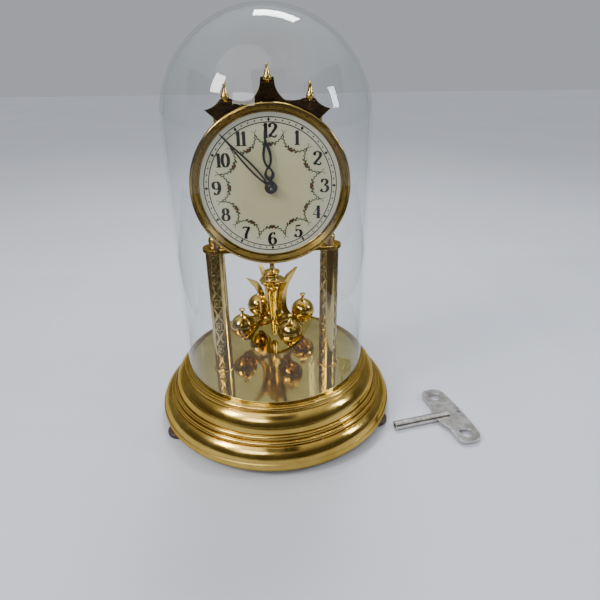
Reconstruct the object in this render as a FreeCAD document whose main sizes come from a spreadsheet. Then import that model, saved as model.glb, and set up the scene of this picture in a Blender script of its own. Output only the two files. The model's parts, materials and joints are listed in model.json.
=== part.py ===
"""A 400-day torsion clock under a glass dome, with its winding key beside it.

Millimetres. Origin on the table at the centre of the base, +Z up, dial facing -Y.
"""
import FreeCAD, Part
import math
import os
import re
import Sketcher

Vector = FreeCAD.Vector

SIZES = {
    # base
    "base_radius": 94.8,
    "base_bottom": 6.0,
    "base_wall": 1.2,
    "deck_height": 46.25,
    "deck_radius": 67.6,
    "deck_thickness": 2.05,
    "weight_radius": 91.8,
    "weight_thickness": 3.0,
    "foot_radius": 9.0,
    "foot_height": 5.2,
    "foot_circle": 87.8,
    "foot_screw_radius": 1.95,
    # glass dome
    "dome_radius": 70.5,
    "dome_wall": 2.2,
    "dome_straight": 228.0,
    # columns and platform
    "column_spacing": 82.1,
    "column_line": -18.7,
    "column_radius": 6.8,
    "ring_radius": 8.0,
    "ring_height": 1.6,
    "rod_radius": 2.5,
    "platform_height": 145.0,
    "platform_thickness": 2.5,
    "platform_end_radius": 8.4,
    "platform_tail_half": 36.0,
    "platform_tail_back": 12.0,
    # movement frame
    "plate_half_width": 34.0,
    "plate_top": 238.0,
    "plate_thickness": 2.0,
    "front_plate_face": -26.0,
    "plate_gap": 32.0,
    "pillar_radius": 3.0,
    "pillar_half_width": 30.0,
    "pillar_low": 150.5,
    "pillar_high": 232.0,
    "screw_radius": 1.5,
    "screw_length": 7.5,
    "pivot_radius": 0.75,
    "pivot_clearance": 0.05,
    # dial
    "dial_height": 192.0,
    "dial_face": -33.1,
    "dial_radius": 48.5,
    "dial_thickness": 0.8,
    "bezel_radius": 51.6,
    "bezel_lip": 4.9,
    "bezel_inner": 45.6,
    "bezel_depth": 5.4,
    # wheels
    "fine_module": 0.3,
    "train_module": 0.5,
    "hour_module": 0.4,
    "great_teeth": 120,
    "first_teeth": 120,
    "second_teeth": 108,
    "centre_teeth": 48,
    "third_teeth": 36,
    "escape_teeth": 20,
    "pinion_leaves": 12,
    "minute_wheel_teeth": 36,
    "hour_wheel_teeth": 48,
    "wheel_thickness": 1.2,
    "barrel_x": -9.0,
    "barrel_height": 167.0,
    "drum_radius": 15.5,
    "drum_wall": 1.0,
    "drum_length": 17.0,
    "winding_square": 3.0,
    "winding_pivot_radius": 1.3,
    "escape_radius": 8.5,
    "anchor_height": 12.0,
    # suspension and pendulum
    "pendulum_line": 24.4,
    "suspension_top": 246.0,
    "strip_bottom": 128.0,
    "strip_width": 1.6,
    "strip_thickness": 0.12,
    "ball_radius": 10.2,
    "ball_circle": 29.0,
    "ball_height": 66.5,
    "stem_radius": 2.8,
    "core_radius": 6.0,
    # winding key
    "key_radius": 3.6,
    "key_bore": 1.7,
    "key_length": 47.5,
    "key_x": 91.6,
    "key_y": -50.7,
    "key_heading": 11.25,
}

NODE_LIMIT = 60
FACING_FRONT = FreeCAD.Rotation(Vector(1, 0, 0), 90)
UPRIGHT = FreeCAD.Rotation()
MINUTE_HAND_ANGLE = -318.0
HOUR_HAND_ANGLE = -355.0
PRESSURE_ANGLE = math.radians(25)
BACKLASH = 0.05
PIPE_GAP = 0.05
BALL_ANGLES = [25.5 + 90 * turn for turn in range(4)]
CLICK_PIVOT = (12.6, -2.0)
PLATFORM_SCREW_LINES = (-13.0, -3.0)
FOOT_ANGLES = {"front_left": -154.0, "front_right": -26.0, "rear": 90.0}

doc = FreeCAD.newDocument("anniversary_clock")
sheet = doc.addObject("Spreadsheet::Sheet", "sizes")
for row, (alias, amount) in enumerate(SIZES.items(), 1):
    sheet.set(f"A{row}", alias)
    sheet.set(f"B{row}", str(amount))
    sheet.setAlias(f"B{row}", alias)
doc.recompute()

nodes = []


# ---------------------------------------------------------------- helpers

def bound(text):
    """An expression in sheet aliases, written out for FreeCAD's expression engine."""
    return re.sub(r"\b([a-z]\w*_\w+)\b", r"sizes.\1", text)


def amount_of(text):
    """The number that an expression in sheet aliases stands for."""
    return float(sheet.evalExpression(bound(text)))


def size(alias):
    """One cell of the sheet."""
    return float(sheet.get(alias))


def put(piece, where=("0", "0", "0"), turn=UPRIGHT):
    """Place a sub-part, with its position bound to the sheet."""
    spot = Vector(*[amount_of(text) for text in where])
    piece.Placement = FreeCAD.Placement(spot, turn)
    for letter, text in zip("xyz", where):
        if re.search("[a-z]", text):
            piece.setExpression("Placement.Base." + letter, bound(text))


def new_body(label, where=("0", "0", "0"), turn=UPRIGHT):
    """An empty PartDesign body that becomes the sub-part of this name."""
    body = doc.addObject("PartDesign::Body", label)
    body.Label = label
    put(body, where, turn)
    nodes.append(body)
    return body


def keep_shape(label, shape, where=("0", "0", "0"), turn=UPRIGHT):
    """A sub-part whose shape is worked out by the functions below."""
    piece = doc.addObject("Part::Feature", label)
    piece.Label = label
    piece.Shape = shape if shape.Placement.isIdentity() else Part.makeCompound([shape])
    put(piece, where, turn)
    nodes.append(piece)
    return piece


def new_sketch(body, role):
    """A sketch on one of the body's own origin planes."""
    sketch = body.newObject("Sketcher::SketchObject", body.Name + "_sketch")
    planes = body.Origin.OriginFeatures
    plane = next(each for each in planes if each.Role == role)
    sketch.AttachmentSupport = [(plane, "")]
    sketch.MapMode = "FlatFace"
    return sketch


def arc_middle(start, end, bulge):
    """The middle of the arc of radius |bulge| from start to end; it bows right of the way if positive."""
    chord = end - start
    radius = abs(bulge)
    rise = radius - math.sqrt(max(radius ** 2 - chord.Length ** 2 / 4, 0))
    side = Vector(chord.y, -chord.x, 0).normalize()
    return (start + end) * 0.5 + side * math.copysign(rise, bulge)


def tie_to_sheet(sketch, kind, where, text):
    """One datum constraint, bound to the sheet if its text names a cell."""
    index = sketch.addConstraint(Sketcher.Constraint(kind, *where, amount_of(text)))
    if re.search("[a-z]", text):
        sketch.setExpression(f"Constraints[{index}]", bound(text))


def draw_loop(sketch, corners):
    """A closed outline: each corner is (x, y) or (x, y, radius of the arc to the next corner)."""
    spots = [Vector(amount_of(c[0]), amount_of(c[1]), 0) for c in corners]
    ends = []
    datums = []
    for number, corner in enumerate(corners):
        start, end = spots[number], spots[(number + 1) % len(spots)]
        if len(corner) == 2:
            edge = sketch.addGeometry(Part.LineSegment(start, end), False)
            ends.append((edge, 1, 2))
            continue
        middle = arc_middle(start, end, corner[2])
        edge = sketch.addGeometry(Part.Arc(start, middle, end), False)
        forward = sketch.getPoint(edge, 1).distanceToPoint(start) < 1e-6
        ends.append((edge, 1, 2) if forward else (edge, 2, 1))
        datums.append(("Radius", (edge,), str(abs(corner[2]))))
    joins = []
    for number, (edge, _, last) in enumerate(ends):
        following, first, _ = ends[(number + 1) % len(ends)]
        joins.append(Sketcher.Constraint("Coincident", edge, last, following, first))
    sketch.addConstraint(joins)
    for (edge, first, _), corner in zip(ends, corners):
        for kind, text, axis in (("DistanceX", corner[0], -2), ("DistanceY", corner[1], -1)):
            if amount_of(text) == 0:
                sketch.addConstraint(Sketcher.Constraint("PointOnObject", edge, first, axis))
            else:
                tie_to_sheet(sketch, kind, (-1, 1, edge, first), text)
    for kind, where, text in datums:
        tie_to_sheet(sketch, kind, where, text)


def draw_circle(sketch, x, y, radius):
    """A circle whose centre and radius are bound to the sheet."""
    centre = Vector(amount_of(x), amount_of(y), 0)
    edge = sketch.addGeometry(Part.Circle(centre, Vector(0, 0, 1), amount_of(radius)), False)
    for kind, text, axis in (("DistanceX", x, -2), ("DistanceY", y, -1)):
        if amount_of(text) == 0:
            sketch.addConstraint(Sketcher.Constraint("PointOnObject", edge, 3, axis))
        else:
            tie_to_sheet(sketch, kind, (-1, 1, edge, 3), text)
    tie_to_sheet(sketch, "Radius", (edge,), radius)


def turned(label, profile, where=("0", "0", "0"), turn=UPRIGHT):
    """A lathe-turned or spun piece: its half section (radius, height) is revolved about the body's Z."""
    body = new_body(label, where, turn)
    sketch = new_sketch(body, "XZ_Plane")
    draw_loop(sketch, profile)
    revolution = body.newObject("PartDesign::Revolution", label + "_turn")
    revolution.Profile = sketch
    revolution.ReferenceAxis = (sketch, ["V_Axis"])
    revolution.Angle = 360
    sketch.Visibility = False
    return body


def flat(label, outline, thickness, holes=(), where=("0", "0", "0"), turn=UPRIGHT):
    """A piece cut from sheet: an outline or a circle's radius, with round holes, padded to its thickness."""
    body = new_body(label, where, turn)
    sketch = new_sketch(body, "XY_Plane")
    if isinstance(outline, str):
        draw_circle(sketch, "0", "0", outline)
    else:
        draw_loop(sketch, outline)
    for hole in holes:
        if isinstance(hole, tuple):
            draw_circle(sketch, *hole)
        else:
            draw_loop(sketch, hole)
    pad = body.newObject("PartDesign::Pad", label + "_pad")
    pad.Profile = sketch
    pad.Length = amount_of(thickness)
    if re.search("[a-z]", thickness):
        pad.setExpression("Length", bound(thickness))
    return body


def pierce(body, circles, role="XY_Plane"):
    """Round holes right through a body."""
    doc.recompute()
    before = body.Shape.Volume
    sketch = new_sketch(body, role)
    for circle in circles:
        draw_circle(sketch, *circle)
    pocket = body.newObject("PartDesign::Pocket", body.Label + "_holes")
    pocket.Profile = sketch
    pocket.Type = "ThroughAll"
    pocket.SideType = "Two sides"
    pocket.Type2 = "ThroughAll"
    doc.recompute()
    if not body.Shape.Volume < before - 0.01:
        raise RuntimeError(body.Label + ": its holes cut nothing")


def cylinder(radius, length, base=Vector(), direction=Vector(0, 0, 1)):
    """A plain round bar as a shape."""
    return Part.makeCylinder(radius, length, base, direction)


def box(low, high):
    """A block between two corners as a shape."""
    span = Vector(*high) - Vector(*low)
    return Part.makeBox(span.x, span.y, span.z, Vector(*low))


def joined(shapes):
    """One clean solid from shapes that touch or overlap."""
    return shapes[0].multiFuse(shapes[1:]).removeSplitter()


def extruded(points, thickness, base=0.0):
    """A prism over a closed polygon in XY."""
    corners = [Vector(x, y, base) for x, y in points]
    return Part.Face(Part.makePolygon(corners + corners[:1])).extrude(Vector(0, 0, thickness))


# ---------------------------------------------------------------- wheels

def roll(radius, base_radius):
    """The angle that an involute has turned at this radius."""
    if radius <= base_radius:
        return 0.0
    lean = math.acos(base_radius / radius)
    return math.tan(lean) - lean


def tooth_points(teeth, module):
    """The outline of a spur gear, with a tooth centred on the X axis."""
    pitch = teeth * module / 2
    base = pitch * math.cos(PRESSURE_ANGLE)
    half = math.pi / 2 / teeth - BACKLASH / pitch
    flank = [pitch - 1.2 * module, pitch, pitch + 0.9 * module]
    flank.insert(1, max(base, pitch - 0.75 * module))
    points = []
    for tooth in range(teeth):
        centre = 2 * math.pi * tooth / teeth
        sides = [(r, half + roll(pitch, base) - roll(r, base)) for r in flank]
        points += [(r * math.cos(centre - a), r * math.sin(centre - a)) for r, a in sides]
        points += [(r * math.cos(centre + a), r * math.sin(centre + a)) for r, a in sides[::-1]]
    return points


def gear(teeth, module, thickness, base=0.0, phase=0.0):
    """A solid gear, standing on base along Z, turned by phase degrees."""
    shape = extruded(tooth_points(int(teeth), module), thickness, base)
    shape.rotate(Vector(), Vector(0, 0, 1), phase)
    return shape


def crossings(rim, hub, arms, arm_width, thickness, base=0.0):
    """The windows between a wheel's arms, as cutters."""
    ring = cylinder(rim, thickness, Vector(0, 0, base)).cut(cylinder(hub, thickness, Vector(0, 0, base)))
    for arm in range(arms):
        bar = box((0, -arm_width / 2, base), (rim + 1, arm_width / 2, base + thickness))
        bar.rotate(Vector(), Vector(0, 0, 1), 360 * arm / arms)
        ring = ring.cut(bar)
    return ring


def crossed_wheel(teeth, module, bore, base, phase, arms=4):
    """A brass train wheel with crossings and a bore for its arbor."""
    thickness = size("wheel_thickness")
    rim = teeth * module / 2 - 2.6 * max(module, 0.4) - 0.4
    wheel = gear(teeth, module, thickness, base, phase)
    wheel = wheel.cut(crossings(rim, 3.4, arms, 1.7, thickness, base))
    return wheel.cut(cylinder(bore, thickness, Vector(0, 0, base)))


def mesh_phase(direction, driver_teeth, driver_phase, teeth):
    """The turn that puts a gear in mesh with its driver, which lies opposite to direction (degrees)."""
    along = (direction - driver_phase) * driver_teeth / 360
    return direction + 180 - (0.5 - along % 1) * 360 / teeth


def heading(start, end):
    """The direction from one arbor to another in the dial's plane, in degrees."""
    return math.degrees(math.atan2(end[1] - start[1], end[0] - start[0]))


def meeting_point(first, first_distance, second, second_distance):
    """The point at these distances from two others, on the left of the way from first to second."""
    way = Vector(second[0] - first[0], second[1] - first[1], 0)
    along = (first_distance ** 2 - second_distance ** 2 + way.Length ** 2) / (2 * way.Length)
    off = math.sqrt(first_distance ** 2 - along ** 2)
    unit = way.normalize()
    return (first[0] + unit.x * along - unit.y * off, first[1] + unit.y * along + unit.x * off)


def distance(teeth, leaves, module):
    """The spacing of two arbors in mesh."""
    return (teeth + leaves) * module / 2


LEAVES = int(size("pinion_leaves"))
FINE, COARSE, HOUR = size("fine_module"), size("train_module"), size("hour_module")
CENTRE = (0.0, size("dial_height"))
BARREL = (size("barrel_x"), size("barrel_height"))
FIRST = (BARREL[0] + distance(size("great_teeth"), LEAVES, FINE), BARREL[1])
SECOND = meeting_point(
    CENTRE,
    distance(size("second_teeth"), LEAVES, FINE),
    FIRST,
    distance(size("first_teeth"), LEAVES, FINE),
)
THIRD = (-9.0, CENTRE[1] + 12.0)
ESCAPE = (0.0, THIRD[1] + math.sqrt(distance(size("third_teeth"), LEAVES, COARSE) ** 2 - THIRD[0] ** 2))
ANCHOR = (0.0, ESCAPE[1] + size("anchor_height"))
MINUTE = (-distance(size("minute_wheel_teeth"), LEAVES, COARSE), CENTRE[1])

# depth in front of the back plate's inner face, along -Y, for each layer of the train
BACK_FACE = size("front_plate_face") + size("plate_thickness") + size("plate_gap")
LAYER = {
    "drum": 1.6,
    "great": 18.6,
    "first": 21.6,
    "second": 24.6,
    "centre": 28.0,
    "third": 13.0,
    "escape": 5.0,
}


def movement_spot(point):
    """Placement text for an arbor: its local Z runs forward from the back plate's inner face."""
    return (f"{point[0]:.6f}", "front_plate_face + plate_thickness + plate_gap", f"{point[1]:.6f}")


def arbor(label, point, pinion_base, pinion_length, module, phase, front=None, radius=1.2):
    """A steel arbor with its pinion leaves and a pivot at each end."""
    gap = size("plate_gap")
    pivot = size("pivot_radius")
    end = front if front else gap + size("plate_thickness")
    shapes = [
        cylinder(pivot, end + size("plate_thickness"), Vector(0, 0, -size("plate_thickness"))),
        cylinder(radius, gap - 0.6, Vector(0, 0, 0.3)),
    ]
    if pinion_length:
        shapes.append(gear(LEAVES, module, pinion_length, pinion_base, phase))
    return keep_shape(label, joined(shapes), movement_spot(point), FACING_FRONT)


# ---------------------------------------------------------------- base and dome

def make_base():
    """The spun brass base, its deck plate, the weight inside and three levelling feet."""
    wall = "base_wall"
    outside = [
        ("90", "base_bottom"),
        ("base_radius - 1.8", "base_bottom"),
        ("base_radius", "base_bottom + 3.5"),
        ("base_radius - 0.2", "base_bottom + 6.8"),
        ("base_radius - 0.9", "base_bottom + 7.2", 13.0),
        ("base_radius - 6.8", "base_bottom + 16.7"),
        ("base_radius - 8.3", "base_bottom + 17.4", 2.0),
        ("base_radius - 9.3", "base_bottom + 20"),
        ("base_radius - 10.8", "base_bottom + 21"),
        ("base_radius - 11.4", "base_bottom + 23.2"),
        ("base_radius - 13.3", "base_bottom + 25.7", 15.0),
        ("base_radius - 19.8", "base_bottom + 35.7"),
        ("base_radius - 20.9", "base_bottom + 37.4", 1.7),
        ("dome_radius + 1.9", "deck_height - 0.4", 1.4),
        ("dome_radius + 0.5", "deck_height"),
        ("dome_radius + 0.5", "deck_height - deck_thickness"),
        ("12", "deck_height - deck_thickness"),
    ]
    inside = [
        ("12", f"deck_height - deck_thickness - {wall}"),
        ("dome_radius + 1.9", f"deck_height - deck_thickness - {wall}"),
        ("base_radius - 21.1", "base_bottom + 35.2"),
        ("base_radius - 14.6", "base_bottom + 25"),
        ("base_radius - 12.8", "base_bottom + 22.4"),
        ("base_radius - 12.2", "base_bottom + 20.1"),
        ("base_radius - 10.6", "base_bottom + 19.1"),
        ("base_radius - 9.7", "base_bottom + 16.4"),
        ("base_radius - 7.9", "base_bottom + 15.4"),
        ("base_radius - 3.4", "base_bottom + 9.4"),
        ("base_radius - 1.5", "base_bottom + 5.6"),
        ("base_radius - 1.6", "base_bottom + 3.4"),
        ("weight_radius + 0.3", "base_bottom + 0.8"),
        ("90", "base_bottom + 0.8"),
    ]
    rods = [("column_spacing / 2", "column_line", "rod_radius + 0.05")]
    rods.append(("-column_spacing / 2", "column_line", "rod_radius + 0.05"))
    shell = turned("base_shell", outside + inside)
    pierce(shell, rods)
    flat("deck_plate", "deck_radius", "deck_thickness", rods, ("0", "0", "deck_height - deck_thickness"))
    screws = []
    for angle in FOOT_ANGLES.values():
        across = f"foot_circle * {math.cos(math.radians(angle)):.6f}"
        along = f"foot_circle * {math.sin(math.radians(angle)):.6f}"
        screws.append((across, along, "foot_screw_radius + 0.05"))
    flat("base_weight", "weight_radius", "weight_thickness", screws, ("0", "0", "base_bottom + 0.8"))
    for name, (across, along, _) in zip(FOOT_ANGLES, screws):
        profile = [
            ("0", "0"),
            ("foot_radius - 0.8", "0"),
            ("foot_radius", "0.8"),
            ("foot_radius", "foot_height - 0.8"),
            ("foot_radius - 0.8", "foot_height"),
            ("foot_screw_radius", "foot_height"),
            ("foot_screw_radius", "foot_height + 10"),
            ("0", "foot_height + 10"),
        ]
        turned("levelling_foot_" + name, profile, (across, along, "0"))


def make_dome():
    """The glass dome, open below, standing in the groove round the deck plate."""
    inner = size("dome_radius") - size("dome_wall")
    outer = size("dome_radius")
    body = new_body("glass_dome")
    sketch = new_sketch(body, "XZ_Plane")
    low, straight = size("deck_height") - size("deck_thickness"), size("dome_straight")
    middle = math.sqrt(0.5)
    crown = Vector(0, straight, 0)
    sketch.addGeometry(Part.LineSegment(Vector(inner, low, 0), Vector(outer, low, 0)))
    sketch.addGeometry(Part.LineSegment(Vector(outer, low, 0), Vector(outer, straight, 0)))
    rim = [Vector(outer, straight, 0), crown + Vector(outer * middle, outer * middle, 0)]
    sketch.addGeometry(Part.Arc(rim[0], rim[1], crown + Vector(0, outer, 0)))
    sketch.addGeometry(Part.LineSegment(crown + Vector(0, outer, 0), crown + Vector(0, inner, 0)))
    hollow = [Vector(inner, straight, 0), crown + Vector(inner * middle, inner * middle, 0)]
    sketch.addGeometry(Part.Arc(hollow[0], hollow[1], crown + Vector(0, inner, 0)))
    sketch.addGeometry(Part.LineSegment(Vector(inner, straight, 0), Vector(inner, low, 0)))
    joins = [(0, 2, 1, 1), (1, 2, 2, 1), (2, 2, 3, 1), (3, 2, 4, 2), (4, 1, 5, 1), (5, 2, 0, 1)]
    sketch.addConstraint([Sketcher.Constraint("Coincident", *ends) for ends in joins])
    on_axis = [Sketcher.Constraint("PointOnObject", arc, 3, -2) for arc in (2, 4)]
    on_axis += [Sketcher.Constraint("PointOnObject", 3, end, -2) for end in (1, 2)]
    sketch.addConstraint(on_axis)
    sketch.addConstraint([Sketcher.Constraint("Horizontal", 0), Sketcher.Constraint("Vertical", 1)])
    sketch.addConstraint(Sketcher.Constraint("Vertical", 5))
    tie_to_sheet(sketch, "DistanceY", (-1, 1, 0, 1), "deck_height - deck_thickness")
    tie_to_sheet(sketch, "DistanceY", (-1, 1, 2, 3), "dome_straight")
    tie_to_sheet(sketch, "DistanceY", (-1, 1, 4, 3), "dome_straight")
    tie_to_sheet(sketch, "DistanceY", (-1, 1, 1, 2), "dome_straight")
    tie_to_sheet(sketch, "DistanceY", (-1, 1, 5, 1), "dome_straight")
    tie_to_sheet(sketch, "Radius", (2,), "dome_radius")
    tie_to_sheet(sketch, "Radius", (4,), "dome_radius - dome_wall")
    revolution = body.newObject("PartDesign::Revolution", "glass_dome_turn")
    revolution.Profile = sketch
    revolution.ReferenceAxis = (sketch, ["V_Axis"])
    revolution.Angle = 360


# ---------------------------------------------------------------- columns and platform

def make_columns():
    """Two tube columns on foot rings, clamped by through rods between a nut below and a ball nut on top."""
    for name, side in (("left", "-column_spacing / 2"), ("right", "column_spacing / 2")):
        tube = [
            ("rod_radius + 0.05", "0"),
            ("column_radius", "0"),
            ("column_radius", "platform_height - deck_height - ring_height"),
            ("rod_radius + 0.05", "platform_height - deck_height - ring_height"),
        ]
        turned("column_" + name, tube, (side, "column_line", "deck_height + ring_height"))
    spacing, line = size("column_spacing") / 2, size("column_line")
    radius = size("rod_radius")
    top = size("platform_height") + size("platform_thickness")
    low = size("deck_height") - size("deck_thickness") - size("base_wall")
    rods, balls, nuts, rings = [], [], [], []
    for side in (-spacing, spacing):
        start = Vector(side, line, low - 6)
        rods.append(cylinder(radius, top + 3 - start.z, start))
        foot = Vector(side, line, size("deck_height"))
        ring = cylinder(size("ring_radius"), size("ring_height"), foot)
        rings.append(ring.cut(cylinder(radius + 0.05, size("ring_height"), foot)))
        collar = cylinder(4.2, 1.3, Vector(side, line, top))
        ball = Part.makeSphere(4.0, Vector(side, line, top + 4.7))
        bore = cylinder(radius, 3.0, Vector(side, line, top))
        balls.append(joined([collar, ball]).cut(bore))
        hexagon = [
            (side + 4.6 * math.cos(math.radians(60 * k)), line + 4.6 * math.sin(math.radians(60 * k)))
            for k in range(6)
        ]
        nut = extruded(hexagon, 3.2, low - 3.2)
        nuts.append(nut.cut(cylinder(radius, 3.2, Vector(side, line, low - 3.2))))
    keep_shape("column_foot_rings", Part.makeCompound(rings))
    keep_shape("column_rods", Part.makeCompound(rods))
    keep_shape("column_ball_nuts", Part.makeCompound(balls))
    keep_shape("column_under_nuts", Part.makeCompound(nuts))


def make_platform():
    """The platform: round ends over the columns and a tail that carries the movement."""
    half, line, end = "column_spacing / 2", "column_line", "platform_end_radius"
    tail, back = "platform_tail_half", "platform_tail_back"
    reach = size("platform_end_radius")
    outline = [
        (f"-({half})", f"{line} - {end}"),
        (half, f"{line} - {end}", reach * 1.0001),
        (f"{half} + {end}", line, reach * 1.0001),
        (half, f"{line} + {end}"),
        (tail, f"{line} + {end}"),
        (tail, back),
        (f"-{tail}", back),
        (f"-{tail}", f"{line} + {end}"),
        (f"-({half})", f"{line} + {end}", reach * 1.0001),
        (f"-({half}) - {end}", line, reach * 1.0001),
    ]
    holes = [(half, line, "rod_radius + 0.05"), (f"-({half})", line, "rod_radius + 0.05")]
    for x in ("-pillar_half_width", "pillar_half_width"):
        for y in PLATFORM_SCREW_LINES:
            holes.append((x, str(y), "screw_radius + 0.05"))
    flat("movement_platform", outline, "platform_thickness", holes, ("0", "0", "platform_height"))


# ---------------------------------------------------------------- movement frame

def pivot_holes(front):
    """The bearing holes of one plate, in the dial's plane."""
    fine = "pivot_radius + pivot_clearance"
    barrel = "winding_pivot_radius + pivot_clearance" if front else "2.0 + pivot_clearance"
    holes = [(f"{BARREL[0]:.6f}", f"{BARREL[1]:.6f}", barrel)]
    for point in (FIRST, SECOND, THIRD, ESCAPE, ANCHOR):
        holes.append((f"{point[0]:.6f}", f"{point[1]:.6f}", fine))
    holes.append(("0", "dial_height", "1.05" if front else fine))
    for x in ("-pillar_half_width", "pillar_half_width"):
        for z in ("pillar_low", "pillar_high"):
            holes.append((x, z, "screw_radius"))
    return holes


def screw(tip, way):
    """A slotted cheese-head screw whose shank starts at tip and runs along way."""
    shank = cylinder(size("screw_radius"), size("screw_length"))
    head = cylinder(2.6, 1.1, Vector(0, 0, -1.1))
    slot = box((-3, -0.3, -1.1), (3, 0.3, -0.6))
    shape = joined([shank, head]).cut(slot)
    shape.Placement = FreeCAD.Placement(tip, FreeCAD.Rotation(Vector(0, 0, 1), way))
    return shape


def raised_stud(body, x, y, radius, length):
    """A round stud standing out of a plate's own sketch plane, as one piece with the plate."""
    sketch = new_sketch(body, "XY_Plane")
    draw_circle(sketch, x, y, radius)
    pad = body.newObject("PartDesign::Pad", body.Label + "_stud")
    pad.Profile = sketch
    pad.Length = abs(length)
    pad.Reversed = length < 0


def make_frame():
    """Front and back plates on four pillars, and the screws that hold plates and platform to them."""
    low = "platform_height + platform_thickness"
    outline = [
        ("-plate_half_width", low),
        ("plate_half_width", low),
        ("plate_half_width", "plate_top - 4", 4.0001),
        ("plate_half_width - 4", "plate_top"),
        ("-plate_half_width + 4", "plate_top", 4.0001),
        ("-plate_half_width", "plate_top - 4"),
    ]
    front_spot = ("0", "front_plate_face + plate_thickness", "0")
    back_spot = ("0", "front_plate_face + 2 * plate_thickness + plate_gap", "0")
    plate = flat("front_plate", outline, "plate_thickness", pivot_holes(True), front_spot, FACING_FRONT)
    raised_stud(plate, f"{MINUTE[0]:.6f}", "dial_height", "0.8", size("plate_thickness") + 5.0)
    plate = flat("back_plate", outline, "plate_thickness", pivot_holes(False), back_spot, FACING_FRONT)
    click = (BARREL[0] + CLICK_PIVOT[0], BARREL[1] + CLICK_PIVOT[1])
    raised_stud(plate, f"{click[0]:.6f}", f"{click[1]:.6f}", "0.9", -2.4)
    pillars, screws = [], []
    gap, thick = size("plate_gap"), size("plate_thickness")
    depth = size("screw_length") - thick
    radius = size("screw_radius")
    for x in (-size("pillar_half_width"), size("pillar_half_width")):
        for z in (size("pillar_low"), size("pillar_high")):
            pillar = cylinder(size("pillar_radius"), gap, Vector(x, z, 0))
            pillar = pillar.cut(cylinder(radius, depth, Vector(x, z, 0)))
            pillar = pillar.cut(cylinder(radius, depth, Vector(x, z, gap - depth)))
            screws.append(screw(Vector(x, z, -thick), Vector(0, 0, 1)))
            screws.append(screw(Vector(x, z, gap + thick), Vector(0, 0, -1)))
            if z == size("pillar_low"):
                for line in PLATFORM_SCREW_LINES:
                    under = Vector(x, size("platform_height"), BACK_FACE - line)
                    screws.append(screw(under, Vector(0, 1, 0)))
                    shank = cylinder(radius, size("screw_length"), under, Vector(0, 1, 0))
                    pillar = pillar.cut(shank)
            pillars.append(pillar)
    spot = movement_spot((0.0, 0.0))
    keep_shape("movement_pillars", Part.makeCompound(pillars), spot, FACING_FRONT)
    keep_shape("movement_screws", Part.makeCompound(screws), spot, FACING_FRONT)


# ---------------------------------------------------------------- going barrel

def half_turn_spiral(start_radius, step, halves, thickness, length):
    """A flat strip wound in half circles, each step wider than the last."""
    outer, inner = [], []
    centre, radius, side = 0.0, start_radius, 1
    for _ in range(halves):
        for rails, reach in ((outer, radius), (inner, radius - thickness)):
            ends = [Vector(centre + side * reach, 0, 0), Vector(centre - side * reach, 0, 0)]
            rails.append(Part.Arc(ends[0], Vector(centre, side * reach, 0), ends[1]).toShape())
        centre += side * step
        radius += step
        side = -side
    caps = []
    for position, edges in ((0, (outer[0], inner[0])), (1, (outer[-1], inner[-1]))):
        points = [edge.valueAt(edge.LastParameter if position else edge.FirstParameter) for edge in edges]
        caps.append(Part.LineSegment(points[0], points[1]).toShape())
    wire = Part.Wire(Part.__sortEdges__(outer + inner + caps))
    return Part.Face(wire).extrude(Vector(0, 0, length))


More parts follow.
